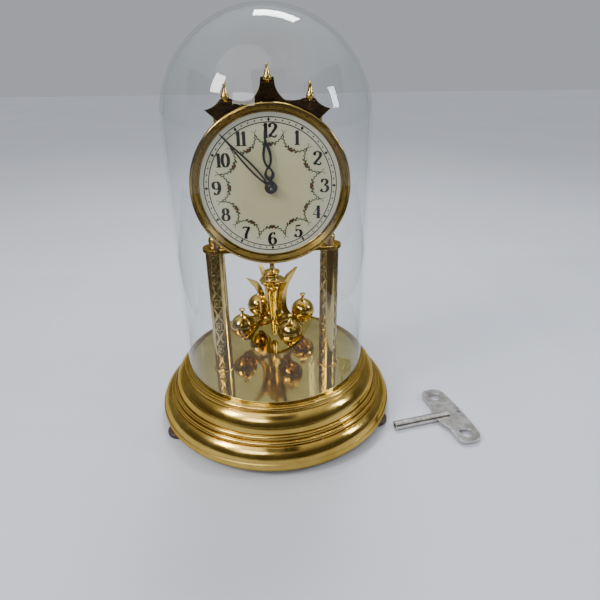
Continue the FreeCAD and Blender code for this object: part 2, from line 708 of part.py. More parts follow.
def make_barrel():
    """The spring barrel with its great wheel, cover, mainspring, arbor and click work."""
    radius, wall = size("drum_radius"), size("drum_wall")
    length, thick = size("drum_length"), size("wheel_thickness")
    start, great = LAYER["drum"], LAYER["great"]
    drum = cylinder(radius, length, Vector(0, 0, start))
    drum = drum.cut(cylinder(radius - wall, length, Vector(0, 0, start)))
    wheel = gear(size("great_teeth"), FINE, thick, great)
    barrel = joined([drum, wheel]).cut(cylinder(2.05, 60, Vector(0, 0, -5)))
    keep_shape("mainspring_barrel", barrel, movement_spot(BARREL), FACING_FRONT)
    cover = [
        ("2.05", f"{start}"),
        ("drum_radius - drum_wall", f"{start}"),
        ("drum_radius - drum_wall", f"{start} + 1.2"),
        ("2.05", f"{start} + 1.2"),
    ]
    turned("barrel_cover", cover, movement_spot(BARREL), FACING_FRONT)
    spring = half_turn_spiral(5.2, 0.62, 14, 0.4, length - 3.4)
    spring.translate(Vector(0, 0, start + 2.2))
    keep_shape("mainspring", spring, movement_spot(BARREL), FACING_FRONT)
    gap = size("plate_gap")
    core = cylinder(3.4, length - 3.0, Vector(0, 0, start + 2.0))
    rod = cylinder(2.0, great + thick + 4.4, Vector(0, 0, -4.0))
    front = cylinder(size("winding_pivot_radius"), gap + size("plate_thickness"))
    half = size("winding_square") / 2
    square = box((-half, -half, -13.0), (half, half, -4.0))
    keep_shape("winding_arbor", joined([core, rod, front, square]), movement_spot(BARREL), FACING_FRONT)
    teeth = 24
    ratchet = []
    for tooth in range(teeth):
        angle = 2 * math.pi * tooth / teeth
        for reach, lead in ((6.6, 0.0), (8.0, 0.02)):
            ratchet.append((reach * math.cos(angle + lead), reach * math.sin(angle + lead)))
    plate = extruded(ratchet, 1.4, -3.7).cut(cylinder(2.0, 1.4, Vector(0, 0, -3.7)))
    keep_shape("ratchet_wheel", plate, movement_spot(BARREL), FACING_FRONT)
    pivot = CLICK_PIVOT
    click = [(-2.4, 0.4), (-1.6, -1.9), (2.2, -2.2), (2.2, 2.2), (-1.2, 2.2)]
    click = [(pivot[0] + x, pivot[1] + y) for x, y in click]
    nose = [(8.3, 2.6), (8.9, 1.4), (11.6, -1.2), (13.0, 0.2), (10.6, 1.6)]
    body = joined([extruded(click, 1.4, -3.7), extruded(nose, 1.4, -3.7)])
    body = body.cut(cylinder(0.95, 1.4, Vector(pivot[0], pivot[1], -3.7)))
    keep_shape("click", body, movement_spot(BARREL), FACING_FRONT)
    strip = [(13.4, 3.0), (14.0, 3.0), (14.4, 7.0), (17.4, 12.0), (16.8, 12.4), (13.7, 7.2)]
    eye = cylinder(1.8, 1.0, Vector(17.6, 13.2, -3.4))
    spring = joined([extruded(strip, 1.0, -3.4), eye])
    stud = cylinder(0.9, 1.4, Vector(17.6, 13.2, -3.4))
    keep_shape("click_spring", joined([spring, stud]), movement_spot(BARREL), FACING_FRONT)


# ---------------------------------------------------------------- going train

def make_train():
    """Two intermediate wheels, then the centre, third and escape wheels, each on its own arbor."""
    thick = size("wheel_thickness")
    bore = 1.2
    first_phase = mesh_phase(heading(BARREL, FIRST), size("great_teeth"), 0, LEAVES)
    arbor("first_arbor", FIRST, LAYER["great"] - 0.4, 2.0, FINE, first_phase)
    wheel = crossed_wheel(size("first_teeth"), FINE, bore, LAYER["first"], 0, 5)
    keep_shape("first_wheel", wheel, movement_spot(FIRST), FACING_FRONT)
    second_phase = mesh_phase(heading(FIRST, SECOND), size("first_teeth"), 0, LEAVES)
    arbor("second_arbor", SECOND, LAYER["first"] - 0.4, 2.0, FINE, second_phase)
    wheel = crossed_wheel(size("second_teeth"), FINE, bore, LAYER["second"], 0, 5)
    keep_shape("second_wheel", wheel, movement_spot(SECOND), FACING_FRONT)
    centre_phase = mesh_phase(heading(SECOND, CENTRE), size("second_teeth"), 0, LEAVES)
    arbor("centre_arbor", CENTRE, LAYER["second"] - 0.4, 2.0, FINE, centre_phase, size("plate_gap") + 15.4)
    wheel = crossed_wheel(size("centre_teeth"), COARSE, bore, LAYER["centre"], 0)
    keep_shape("centre_wheel", wheel, movement_spot(CENTRE), FACING_FRONT)
    third_phase = mesh_phase(heading(CENTRE, THIRD), size("centre_teeth"), 0, LEAVES)
    arbor("third_arbor", THIRD, LAYER["centre"] - 0.4, 2.0, COARSE, third_phase)
    wheel = crossed_wheel(size("third_teeth"), COARSE, bore, LAYER["third"], 0)
    keep_shape("third_wheel", wheel, movement_spot(THIRD), FACING_FRONT)
    escape_phase = mesh_phase(heading(THIRD, ESCAPE), size("third_teeth"), 0, LEAVES)
    arbor("escape_arbor", ESCAPE, LAYER["third"] - 0.4, 2.0, COARSE, escape_phase)
    points = []
    teeth = int(size("escape_teeth"))
    tip, root = size("escape_radius"), size("escape_radius") - 1.9
    for tooth in range(teeth):
        angle = 2 * math.pi * tooth / teeth
        for reach, lead in ((root, 0.0), (tip, 0.16), (tip, 0.19), (root, 0.20)):
            points.append((reach * math.cos(angle + lead), reach * math.sin(angle + lead)))
    wheel = extruded(points, thick, LAYER["escape"])
    wheel = wheel.cut(crossings(root - 1.2, 2.4, 4, 1.0, thick, LAYER["escape"]))
    wheel = wheel.cut(cylinder(bore, thick, Vector(0, 0, LAYER["escape"])))
    keep_shape("escape_wheel", wheel, movement_spot(ESCAPE), FACING_FRONT)


def make_escapement():
    """The anchor on its arbor, with the pin that the fork drives behind the back plate."""
    thick = size("wheel_thickness")
    base = LAYER["escape"]
    reach = size("escape_radius") + 1.0
    drop = size("anchor_height")
    yoke = [(-1.8, 2.0), (1.8, 2.0), (8.6, -3.4), (7.9, -8.3), (6.9, -7.6), (6.9, -4.0), (1.2, -1.4)]
    yoke += [(-1.2, -1.4), (-6.9, -4.0), (-6.9, -7.6), (-7.9, -8.3), (-8.6, -3.4)]
    clear = cylinder(reach, thick, Vector(0, -drop, base))
    anchor = extruded(yoke, thick, base).cut(clear).cut(cylinder(1.2, thick, Vector(0, 0, base)))
    keep_shape("anchor", anchor, movement_spot(ANCHOR), FACING_FRONT)
    gap, plate = size("plate_gap"), size("plate_thickness")
    shaft = [
        cylinder(size("pivot_radius"), gap + 2 * plate + 2.4, Vector(0, 0, -plate - 2.4)),
        cylinder(1.2, gap - 0.6, Vector(0, 0, 0.3)),
        cylinder(1.3, 2.0, Vector(0, 0, -plate - 3.4)),
        cylinder(0.4, 14.0, Vector(0, 0.6, -plate - 2.4), Vector(0, 1, 0)),
    ]
    keep_shape("anchor_arbor", joined(shaft), movement_spot(ANCHOR), FACING_FRONT)


# ---------------------------------------------------------------- dial work

def leaf_hand(outline, slots, hub, bore, thickness):
    """A flat steel hand: an outline of arcs from hub to tip, mirrored, with open slots."""
    blade = extruded(outline + [(-x, y) for x, y in outline[::-1]], thickness)
    for slot in slots:
        blade = blade.cut(extruded(slot + [(-x, y) for x, y in slot[::-1]], thickness))
    return joined([blade, cylinder(hub, thickness)]).cut(cylinder(bore, thickness))


def curve(start, end, half_width, steps=8, tail=0.0, head=0.0):
    """Half of a leaf from start to end along a hand: widest in the middle, tail and head wide at its ends."""
    points = []
    for step in range(steps + 1):
        part = step / steps
        swell = math.sin(math.pi * part ** 0.8)
        points.append((tail * (1 - part) + head * part + half_width * swell, start + (end - start) * part))
    return points


def make_dial_work():
    """Motion work, hands, dial, bezel and the ornament on top of the bezel."""
    face = size("dial_face")
    front = "front_plate_face"
    thick = size("wheel_thickness")
    plate = size("front_plate_face")
    pipe_tip = plate - face + 3.9
    cannon_phase = 0.0
    pipe = cylinder(1.5, pipe_tip - 0.5, Vector(0, 0, 0.5))
    cannon = joined([gear(LEAVES, COARSE, 2.6, 0.5, cannon_phase), pipe])
    cannon = cannon.cut(cylinder(size("pivot_radius"), pipe_tip + 1, Vector(0, 0, 0)))
    keep_shape("cannon_pinion", cannon, ("0", front, "dial_height"), FACING_FRONT)
    minute_phase = mesh_phase(180, LEAVES, cannon_phase, size("minute_wheel_teeth"))
    wheel = gear(size("minute_wheel_teeth"), COARSE, thick, 1.2, minute_phase)
    pinion = gear(LEAVES, HOUR, 2.4, 1.2 + thick, 0)
    wheel = joined([wheel, pinion]).cut(cylinder(0.85, 6, Vector(0, 0, 0)))
    spot = (f"{MINUTE[0]:.6f}", front, "dial_height")
    keep_shape("minute_wheel", wheel, spot, FACING_FRONT)
    hour_phase = mesh_phase(0, LEAVES, 0, size("hour_wheel_teeth"))
    tip = plate - face + 2.1
    wheel = gear(size("hour_wheel_teeth"), HOUR, thick, 3.3, hour_phase)
    pipe = cylinder(2.3, tip - 3.3, Vector(0, 0, 3.3))
    wheel = joined([wheel, pipe]).cut(cylinder(1.5 + PIPE_GAP, tip, Vector(0, 0, 0)))
    keep_shape("hour_wheel", wheel, ("0", front, "dial_height"), FACING_FRONT)

    outline = [(2.0, 2.4)] + curve(4.4, 12.6, 2.2, 8, 1.0, 1.3)
    outline += curve(13.2, 29.0, 1.9, 9, 1.3, 0.9) + [(0.35, 35.0)]
    slots = [curve(6.8, 11.8, 1.25, 6, 0.2, 0.4), curve(14.4, 25.6, 1.15, 8, 0.4, 0.1)]
    hour = leaf_hand(outline, slots, 4.1, 2.3, 0.5)
    hour.rotate(Vector(), Vector(0, 0, 1), HOUR_HAND_ANGLE)
    keep_shape("hour_hand", hour, ("0", "dial_face - 1.6", "dial_height"), FACING_FRONT)
    outline = [(1.5, 2.4)] + curve(5.0, 36.0, 1.15, 12, 1.1, 0.75) + [(0.35, 45.2)]
    slots = [curve(6.8, 32.5, 0.7, 12, 0.25, 0.1)]
    minute = leaf_hand(outline, slots, 3.6, 1.5, 0.5)
    minute.rotate(Vector(), Vector(0, 0, 1), MINUTE_HAND_ANGLE)
    keep_shape("minute_hand", minute, ("0", "dial_face - 3.4", "dial_height"), FACING_FRONT)
    nut = [
        ("pivot_radius", "0"),
        ("2.6", "0"),
        ("2.6", "0.9"),
        ("1.7", "1.5"),
        ("pivot_radius", "1.5"),
    ]
    turned("hand_nut", nut, ("0", "dial_face - 3.9", "dial_height"), FACING_FRONT)

    flat("dial", "dial_radius", "dial_thickness", [("0", "0", "3.2")],
         ("0", "dial_face + dial_thickness", "dial_height"), FACING_FRONT)
    pan = [
        ("6", "-1.6"),
        ("bezel_radius - 1.8", "-1.6"),
        ("bezel_radius - 1.8", "-bezel_depth"),
        ("bezel_radius - 1.0", "-bezel_depth"),
        ("bezel_radius - 1.0", "-0.8"),
        ("6", "-0.8"),
    ]
    turned("dial_pan", pan, ("0", "dial_face", "dial_height"), FACING_FRONT)
    bezel = [
        ("bezel_radius - 0.9", "-bezel_depth"),
        ("bezel_radius", "-bezel_depth"),
        ("bezel_radius", "bezel_lip - 1.9", 1.9),
        ("bezel_radius - 1.9", "bezel_lip"),
        ("bezel_radius - 2.6", "bezel_lip - 0.3"),
        ("bezel_inner", "0.5"),
        ("bezel_inner", "0"),
        ("bezel_inner + 1.1", "0"),
        ("bezel_radius - 2.3", "bezel_lip - 1.4"),
        ("bezel_radius - 0.9", "bezel_lip - 2.6"),
    ]
    turned("bezel", bezel, ("0", "dial_face", "dial_height"), FACING_FRONT)
    posts = []
    for x in (-28, 28):
        for z in (size("dial_height") - 25, size("dial_height") + 25):
            posts.append(cylinder(1.6, plate - face - 1.6, Vector(x, z, 0)))
    keep_shape("dial_posts", Part.makeCompound(posts), ("0", front, "0"), FACING_FRONT)

    edge = "bezel_radius"
    reach = size("bezel_radius")

    def on_bezel(angle):
        turn = math.radians(angle)
        return (f"{edge} * {math.cos(turn):.6f}", f"{edge} * {math.sin(turn):.6f}")

    right = [
        on_bezel(52.0),
        ("38.9", "46.9", -14.0),
        ("29.0", "52.9"),
        ("22.2", "53.1", -16.0),
        ("13.2", "bezel_radius + 0.3", -60.0),
        ("10.4", "bezel_radius + 0.6", -15.0),
        ("4.6", "60.4"),
        ("4.0", "65.0"),
    ]
    left = []
    for number in range(len(right) - 1, -1, -1):
        x, y = right[number][:2]
        mirrored = (f"-({x})", y)
        if number and len(right[number - 1]) == 3:
            mirrored += (right[number - 1][2],)
        left.append(mirrored)
    left[-1] = left[-1][:2] + (-reach,)
    flat("crown_ornament", right + left, "0.8", (), ("0", "dial_face + 4.2", "dial_height"), FACING_FRONT)
    finials = []
    for x, z in ((0.0, 64.6), (-25.6, 54.2), (25.6, 54.2)):
        bulb = Part.makeSphere(2.6, Vector(x, z, 2.9))
        spire = Part.makeCone(2.2, 0.9, 6.0, Vector(x, z + 1.2, 2.9), Vector(0, 1, 0))
        tip = Part.makeSphere(1.1, Vector(x, z + 7.2, 2.9))
        peg = cylinder(0.9, 2.0, Vector(x, z - 2.2, 0), Vector(0, 0, 1))
        finials.append(joined([bulb, spire, tip, peg]))
    spot = ("0", "dial_face + 3.4", "dial_height")
    keep_shape("crown_finials", Part.makeCompound(finials), spot, FACING_FRONT)


# ---------------------------------------------------------------- suspension and pendulum

def make_suspension():
    """The bracket behind the back plate, the top block, the spring strip, its fork and its lower block."""
    line, top = size("pendulum_line"), size("suspension_top")
    back = BACK_FACE + size("plate_thickness")
    arm = box((-6, back, top), (6, line + 3.5, top + 2.2))
    foot = size("plate_top") - 12
    legs = [box((side - 1.1, back, foot), (side + 1.1, back + 2.2, top)) for side in (-4.9, 4.9)]
    keep_shape("suspension_bracket", joined([arm] + legs))
    block = box((-2.2, line - 2.2, top - 5.0), (2.2, line + 2.2, top))
    keep_shape("suspension_top_block", block)
    low, thick, wide = size("strip_bottom"), size("strip_thickness"), size("strip_width")
    strip = box((-wide / 2, line - thick / 2, low), (wide / 2, line + thick / 2, top - 5.0))
    fork_low, fork_high = ANCHOR[1] + 10.6, ANCHOR[1] + 12.0
    collar = box((-1.5, line - 1.5, fork_low), (1.5, line + 1.5, fork_high))
    eye = cylinder(wide / 2 + 0.1, 2.0, Vector(0, line, fork_low))
    pin_line = back + 2.4
    stem = box((-0.6, pin_line + 3.0, fork_low), (0.6, line - 1.4, fork_high))
    bridge = box((-1.7, pin_line + 2.0, fork_low), (1.7, pin_line + 3.1, fork_high))
    tines = [
        box((side - 0.35, pin_line - 1.4, fork_low), (side + 0.35, pin_line + 2.1, fork_high))
        for side in (-1.35, 1.35)
    ]
    keep_shape("suspension_fork", joined([collar, stem, bridge] + tines).cut(eye))
    keep_shape("suspension_spring", strip)
    keep_shape("suspension_bottom_block", box((-2.0, line - 2.0, low - 5.0), (2.0, line + 2.0, low)))


def make_pendulum():
    """The torsion pendulum: stem, gallery, regulating disc, four curved arms and four balls."""
    spot = ("0", "pendulum_line", "0")
    stem = [
        ("0", "49.5"),
        ("1.6", "50"),
        ("stem_radius", "53"),
        ("stem_radius", "70"),
        ("core_radius", "79"),
        ("core_radius", "97"),
        ("3.2", "97"),
        ("3.2", "99"),
        ("0", "99"),
    ]
    turned("pendulum_stem", stem, spot)
    gallery = [
        ("0", "99"),
        ("9.5", "99"),
        ("10.8", "101"),
        ("10.8", "102.6"),
        ("6.4", "103.4"),
        ("5.4", "106"),
        ("6.6", "109.6"),
        ("5.0", "110.2"),
        ("2.2", "111"),
        ("1.5", "strip_bottom - 5"),
        ("0", "strip_bottom - 5"),
    ]
    turned("pendulum_gallery", gallery, spot)
    arms = []
    circle = size("ball_circle")
    outer = [(26.0, 54.6), (23.7, 58.5), (16.7, 66.6), (12.4, 75.0), (12.2, 83.0), (13.0, 90.0), (17.6, 100.0)]
    inner = [(14.0, 103.6), (8.6, 92.0), (7.3, 84.0), (7.6, 74.0), (11.4, 65.6), (19.6, 56.4), (21.8, 51.8)]
    for angle in BALL_ANGLES:
        curve_out = Part.BSplineCurve()
        curve_out.interpolate([Vector(x, 0, z) for x, z in outer])
        curve_in = Part.BSplineCurve()
        curve_in.interpolate([Vector(x, 0, z) for x, z in inner])
        tip = Vector(23.5, 0, 108.8)
        toe = Vector(circle, 0, 52.6)
        edges = [
            curve_out.toShape(),
            Part.LineSegment(Vector(outer[-1][0], 0, outer[-1][1]), tip).toShape(),
            Part.LineSegment(tip, Vector(inner[0][0], 0, inner[0][1])).toShape(),
            curve_in.toShape(),
            Part.LineSegment(Vector(inner[-1][0], 0, inner[-1][1]), toe).toShape(),
            Part.LineSegment(toe, Vector(outer[0][0], 0, outer[0][1])).toShape(),
        ]
        face = Part.Face(Part.Wire(edges))
        arm = face.extrude(Vector(0, 3.2, 0))
        arm.translate(Vector(0, -1.6, 0))
        struts = [box((1.5, -1.2, 62.0), (15.0, 1.2, 64.2)), box((1.5, -1.2, 82.0), (9.0, 1.2, 84.2))]
        arm = joined([arm] + struts)
        arm = arm.cut(cylinder(size("stem_radius"), 20, Vector(0, 0, 50)))
        arm = arm.cut(cylinder(size("core_radius"), 18, Vector(0, 0, 79)))
        arm.rotate(Vector(), Vector(0, 0, 1), angle)
        arms.append(arm)
    keep_shape("pendulum_arms", Part.makeCompound(arms), spot)
    balls = []
    for angle in BALL_ANGLES:
        turn = math.radians(angle)
        centre = Vector(circle * math.cos(turn), circle * math.sin(turn), size("ball_height"))
        ball = Part.makeSphere(size("ball_radius"), centre)
        top = centre + Vector(0, 0, size("ball_radius"))
        collar = Part.makeCone(2.8, 1.3, 1.8, top - Vector(0, 0, 0.4))
        neck = cylinder(1.3, 4.0, top)
        flare = Part.makeCone(1.3, 2.4, 1.4, top + Vector(0, 0, 3.4))
        cap = cylinder(2.4, 1.2, top + Vector(0, 0, 4.8))
        foot = cylinder(2.2, 5.0, centre - Vector(0, 0, size("ball_radius") + 2.6))
        balls.append(joined([ball, collar, neck, flare, cap, foot]))
    cutters = Part.makeCompound(arms)
    balls = [ball.cut(cutters) for ball in balls]
    keep_shape("pendulum_balls", Part.makeCompound(balls), spot)
    disc = [
        ("3.2 + 0.05", "0"),
        ("6.2", "0"),
        ("6.2", "1.8"),
        ("3.2 + 0.05", "1.8"),
    ]
    turned("regulating_disc", disc, ("0", "pendulum_line", "97"))


# ---------------------------------------------------------------- winding key

def make_key():
    """The winding key lying beside the base: a tube with a square hole and a flat bow of two eyed wings."""
    radius, bore, length = size("key_radius"), size("key_bore"), size("key_length")
    thick = 1.8
    low = radius - thick / 2
    tube = cylinder(radius, length, Vector(0, 0, radius), Vector(1, 0, 0))
    hole = box((-1, -bore, radius - bore), (14, bore, radius + bore))
    eye_radius, eye_x, eye_y = 4.9, length + 1.5, 23.8
    outer_round, inner_round = 8.0, 6.0
    edge = [(length + 12.8, 0), (length + 12.5, 12), (length + 11.5, 25.6), (length + 3.5, 33.6)]
    edge += [(length - 1.5, 33.6), (length - 7.5, 27.6), (length - 7.5, 14), (length - 11, 7)]
    bow = [extruded(edge + [(x, -y) for x, y in edge[:0:-1]], thick, low)]
    for side in (-1, 1):
        bow.append(cylinder(outer_round, thick, Vector(length + 3.5, side * 25.6, low)))
        bow.append(cylinder(inner_round, thick, Vector(length - 1.5, side * 27.6, low)))
    bow = joined(bow)
    for side in (-1, 1):
        bow = bow.cut(cylinder(eye_radius, thick, Vector(eye_x, side * eye_y, low)))
    bow = bow.cut(cylinder(2.0, thick, Vector(length + 9.3, 0, low)))
    key = joined([tube, bow]).cut(hole)
    turn = FreeCAD.Rotation(Vector(0, 0, 1), size("key_heading"))
    keep_shape("winding_key", key, ("key_x", "key_y", "0"), turn)


# ---------------------------------------------------------------- build, check and write

def check_and_write():
    """Stop on any failed object or bad shape, then write one STEP file per sub-part."""
    doc.recompute()
    for each in doc.Objects:
        if "Invalid" in each.State or "Error" in each.State:
            raise RuntimeError(f"{each.Label} failed: {each.State}")
    if len(nodes) > NODE_LIMIT:
        raise RuntimeError(f"{len(nodes)} sub-parts are too many")
    os.makedirs("parts", exist_ok=True)
    for old in os.listdir("parts"):
        os.remove(os.path.join("parts", old))
    for piece in nodes:
        shape = piece.Shape
        if shape.isNull() or not shape.isValid() or shape.Volume <= 0:
            raise RuntimeError(piece.Label + " has no valid shape")
        shape.exportStep(os.path.join("parts", piece.Label + ".step"))
        print(f"{piece.Label:28s} {len(shape.Solids):3d} solids {shape.Volume:12.1f} mm3")
    print(len(nodes), "sub-parts")


make_base()
make_dome()
make_columns()
make_platform()
make_frame()
make_barrel()
make_train()
make_escapement()
make_dial_work()
make_suspension()
make_pendulum()
make_key()
check_and_write()
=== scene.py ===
"""The looks of a 400-day torsion clock: polished brass under a clear glass dome, with a printed dial.

Metres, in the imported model's frame: +Z up, the dial faces -Y and the table is Z = 0. Outlines are
written in millimetres and scaled by MM. Places come from the CAD nodes' boxes, except some heights
along the pendulum, which are measured from the table.
"""
import json
from math import asin, atan2, copysign, cos, hypot, pi, radians, sin, sqrt, tau

import bmesh
import bpy
from mathutils import Matrix, Vector


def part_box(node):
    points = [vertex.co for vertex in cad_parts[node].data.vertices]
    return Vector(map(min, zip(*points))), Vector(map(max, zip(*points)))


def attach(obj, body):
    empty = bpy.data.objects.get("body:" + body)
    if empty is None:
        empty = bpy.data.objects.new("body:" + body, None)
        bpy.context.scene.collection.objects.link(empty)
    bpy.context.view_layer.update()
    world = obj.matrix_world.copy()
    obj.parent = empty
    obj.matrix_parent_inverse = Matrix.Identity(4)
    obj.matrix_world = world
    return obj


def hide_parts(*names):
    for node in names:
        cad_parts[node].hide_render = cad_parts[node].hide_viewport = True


MM = 0.001
ON_AXIS = 1e-7
# How far edges are rounded, in millimetres, and the nodes of the movement and frame that get it.
MOVEMENT_BEVELS = {
    0.02: ("suspension_spring",),
    0.03: ("escape_wheel",),
    0.04: ("first_arbor", "first_wheel", "second_arbor", "second_wheel", "centre_arbor", "centre_wheel",
           "third_arbor", "third_wheel", "escape_arbor", "cannon_pinion", "minute_wheel", "hour_wheel"),
    0.05: ("mainspring", "click_spring"),
    0.06: ("mainspring_barrel", "winding_arbor", "ratchet_wheel", "anchor", "anchor_arbor"),
    0.08: ("suspension_fork",),
    0.1: ("dial_posts", "column_rods"),
    0.12: ("movement_screws", "click"),
    0.15: ("front_plate", "back_plate", "barrel_cover"),
    0.2: ("movement_pillars",),
    0.3: ("column_under_nuts", "base_weight", "suspension_bracket", "suspension_top_block",
          "suspension_bottom_block"),
}

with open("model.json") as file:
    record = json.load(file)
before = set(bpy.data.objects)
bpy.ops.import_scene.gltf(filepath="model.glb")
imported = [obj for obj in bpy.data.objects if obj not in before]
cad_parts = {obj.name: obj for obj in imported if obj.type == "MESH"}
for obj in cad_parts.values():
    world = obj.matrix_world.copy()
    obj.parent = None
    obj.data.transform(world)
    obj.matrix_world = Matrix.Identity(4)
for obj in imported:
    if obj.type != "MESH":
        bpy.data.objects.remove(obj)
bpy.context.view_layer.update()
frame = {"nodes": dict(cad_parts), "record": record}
nodes = frame["nodes"]
record = frame["record"]
body_of = {node: body for body, group in record["behaviour"]["bodies"].items() for node in group}
slot_of = {part["node"]: part["material_slot"] for part in record["subparts"]}


# ---- material helpers

class Shader:
    """The node tree of a material, or of the world, with short ways to add and join nodes."""

    def __init__(self, name, world=False):
        self.result = (bpy.data.worlds if world else bpy.data.materials).new(name)
        self.result.use_nodes = True
        self.tree = self.result.node_tree
        self.tree.nodes.clear()
        self.output = self.add("ShaderNodeOutputWorld" if world else "ShaderNodeOutputMaterial")
        self.place = self.add("ShaderNodeTexCoord").outputs["Generated" if world else "Object"]

    def add(self, kind, inputs=(), **settings):
        """A new node; inputs pairs its sockets' names or numbers with values or with other sockets."""
        node = self.tree.nodes.new(kind)
        for key, value in settings.items():
            setattr(node, key, value)
        for key, value in dict(inputs).items():
            if isinstance(value, bpy.types.NodeSocket):
                self.tree.links.new(value, node.inputs[key])
            else:
                node.inputs[key].default_value = value
        return node

    def end(self, node):
        """Ends the tree with a node; returns the material or the world."""
        self.tree.links.new(node.outputs[0], self.output.inputs["Surface"])
        return self.result

    def principled(self, colour, rough, normal=None, **others):
        """Ends the tree with a principled surface."""
        inputs = {"Base Color": colour, "Roughness": rough}
        if normal is not None:
            inputs["Normal"] = normal
        for key, value in others.items():
            inputs[key.replace("_", " ")] = value
        return self.end(self.add("ShaderNodeBsdfPrincipled", inputs))

    def blend(self, share, first, second):
        """Ends the tree with two shaders mixed by a share."""
        return self.end(self.add("ShaderNodeMixShader", {0: share, 1: first, 2: second}))

    def math(self, kind, first, second):
        return self.add("ShaderNodeMath", {0: first, 1: second}, operation=kind).outputs[0]

    def vector(self, kind, first, second=(0.0, 0.0, 0.0)):
        node = self.add("ShaderNodeVectorMath", {0: first, 1: second}, operation=kind)
        return node.outputs["Value" if kind in ("LENGTH", "DISTANCE", "DOT_PRODUCT") else "Vector"]

    def noise(self, scale, detail=4.0, rough=0.55, place=None):
        inputs = {"Scale": scale, "Detail": detail, "Roughness": rough}
        inputs["Vector"] = self.place if place is None else place
        return self.add("ShaderNodeTexNoise", inputs).outputs["Fac"]

    def stretched(self, scale):
        """Object coordinates scaled by a different amount on each axis."""
        return self.add("ShaderNodeMapping", {"Vector": self.place, "Scale": scale}).outputs[0]

    def turned_marks(self, centre, axis, scale):
        """Fine rings round an axis through centre, as a lathe or a buffing wheel leaves them."""
        shift = self.vector("SUBTRACT", self.place, centre)
        across = self.vector("MULTIPLY", shift, [0.0 if part else 1.0 for part in axis])
        inputs = {0: self.vector("LENGTH", across), 1: self.vector("DOT_PRODUCT", shift, axis)}
        return self.noise(scale, 3.0, 0.7, self.add("ShaderNodeCombineXYZ", inputs).outputs[0])

    def between(self, value, low, high, start=0.0, end=1.0):
        return self.add("ShaderNodeMapRange", enumerate((value, low, high, start, end))).outputs[0]

    def ramp(self, value, *stops):
        node = self.add("ShaderNodeValToRGB", {0: value})
        elements = node.color_ramp.elements
        while len(elements) < len(stops):
            elements.new(0.5)
        for element, (place, colour) in zip(elements, stops):
            element.position = place
            element.color = (*colour, 1.0)
        return node.outputs[0]

    def mix(self, share, first, second, way="MIX"):
        first, second = [(*tone, 1.0) if isinstance(tone, tuple) else tone for tone in (first, second)]
        inputs = {"Factor": share, 6: first, 7: second}
        return self.add("ShaderNodeMix", inputs, data_type="RGBA", blend_type=way).outputs[2]

    def bump(self, height, strength, distance, normal=None):
        inputs = {"Strength": strength, "Distance": distance, "Height": height}
        if normal is not None:
            inputs["Normal"] = normal
        return self.add("ShaderNodeBump", inputs).outputs[0]


# ---- materials

def spun_brass(name, tone, deep, smooth, marks, centre=(0.0, 0.0, 0.0), axis=(0.0, 0.0, 1.0)):
    """Lacquered brass: clouded tone, darker tarnish spots, fingerprints, and fine turning marks."""
    edge = tuple(0.35 + part * 0.55 for part in tone)
    shader = Shader(name)
    clouds = shader.noise(28.0, 5.0, 0.6)
    spots = shader.noise(210.0, 6.0, 0.65)
    smear = shader.noise(75.0, 3.0, 0.5)
    rings = shader.turned_marks(centre, axis, 5200.0)
    colour = shader.mix(shader.between(clouds, 0.38, 0.68), tone, deep)
    tarnish = tuple(part * 0.42 for part in deep)
    colour = shader.mix(shader.between(spots, 0.66, 0.80, 0.0, 0.55), colour, tarnish)
    smeared = shader.between(smear, 0.35, 0.75, smooth, smooth + 0.10)
    rough = shader.math("ADD", smeared, shader.between(rings, 0.45, 0.75, 0.0, 0.06))
    normal = shader.bump(rings, marks, 0.00002)
    normal = shader.bump(clouds, 0.05, 0.0005, normal)
    return shader.principled(colour, rough, normal, Metallic=1.0, Specular_Tint=(*edge, 1.0))


def brushed_brass(name):
    """Plate brass with a straight satin grain and a little oil-stained tarnish."""
    shader = Shader(name)
    grain = shader.noise(1.0, 5.0, 0.7, shader.stretched((300.0, 300.0, 9000.0)))
    clouds = shader.noise(60.0, 4.0, 0.6)
    colour = shader.mix(shader.between(clouds, 0.35, 0.7), (0.72, 0.54, 0.20), (0.50, 0.35, 0.11))
    rough = shader.between(grain, 0.3, 0.7, 0.22, 0.38)
    return shader.principled(colour, rough, shader.bump(grain, 0.25, 0.00003), Metallic=1.0)


def engraved_brass():
    """The columns' brass: bright on the raised leaves, dark and stippled where the ground is cut down."""
    shader = Shader("engraved_brass")
    attribute = shader.add("ShaderNodeAttribute", attribute_name="relief")
    raised = attribute.outputs["Fac"]
    stipple = shader.noise(2600.0, 2.0, 0.8)
    clouds = shader.noise(80.0, 4.0, 0.6)
    bright = shader.mix(shader.between(clouds, 0.35, 0.7), (0.54, 0.43, 0.19), (0.38, 0.28, 0.10))
    ground = shader.mix(shader.between(stipple, 0.35, 0.7), (0.06, 0.042, 0.016), (0.20, 0.14, 0.055))
    colour = shader.mix(raised, ground, bright)
    rough = shader.between(raised, 0.0, 1.0, 0.42, 0.13)
    depth = shader.math("MULTIPLY", stipple, shader.math("SUBTRACT", 1.0, raised))
    return shader.principled(colour, rough, shader.bump(depth, 0.6, 0.00012), Metallic=1.0)


def dark_brass():
    """Thin sheet brass browned by age, brighter in scattered rubbed patches."""
    shader = Shader("dark_brass")
    clouds = shader.noise(110.0, 6.0, 0.65)
    scratches = shader.noise(1.0, 2.0, 0.6, shader.stretched((900.0, 900.0, 7000.0)))
    colour = shader.ramp(
        clouds, (0.30, (0.030, 0.018, 0.009)), (0.55, (0.075, 0.046, 0.020)), (0.78, (0.22, 0.14, 0.05))
    )
    rough = shader.between(scratches, 0.3, 0.7, 0.20, 0.34)
    return shader.principled(colour, rough, shader.bump(scratches, 0.15, 0.00003), Metallic=1.0)


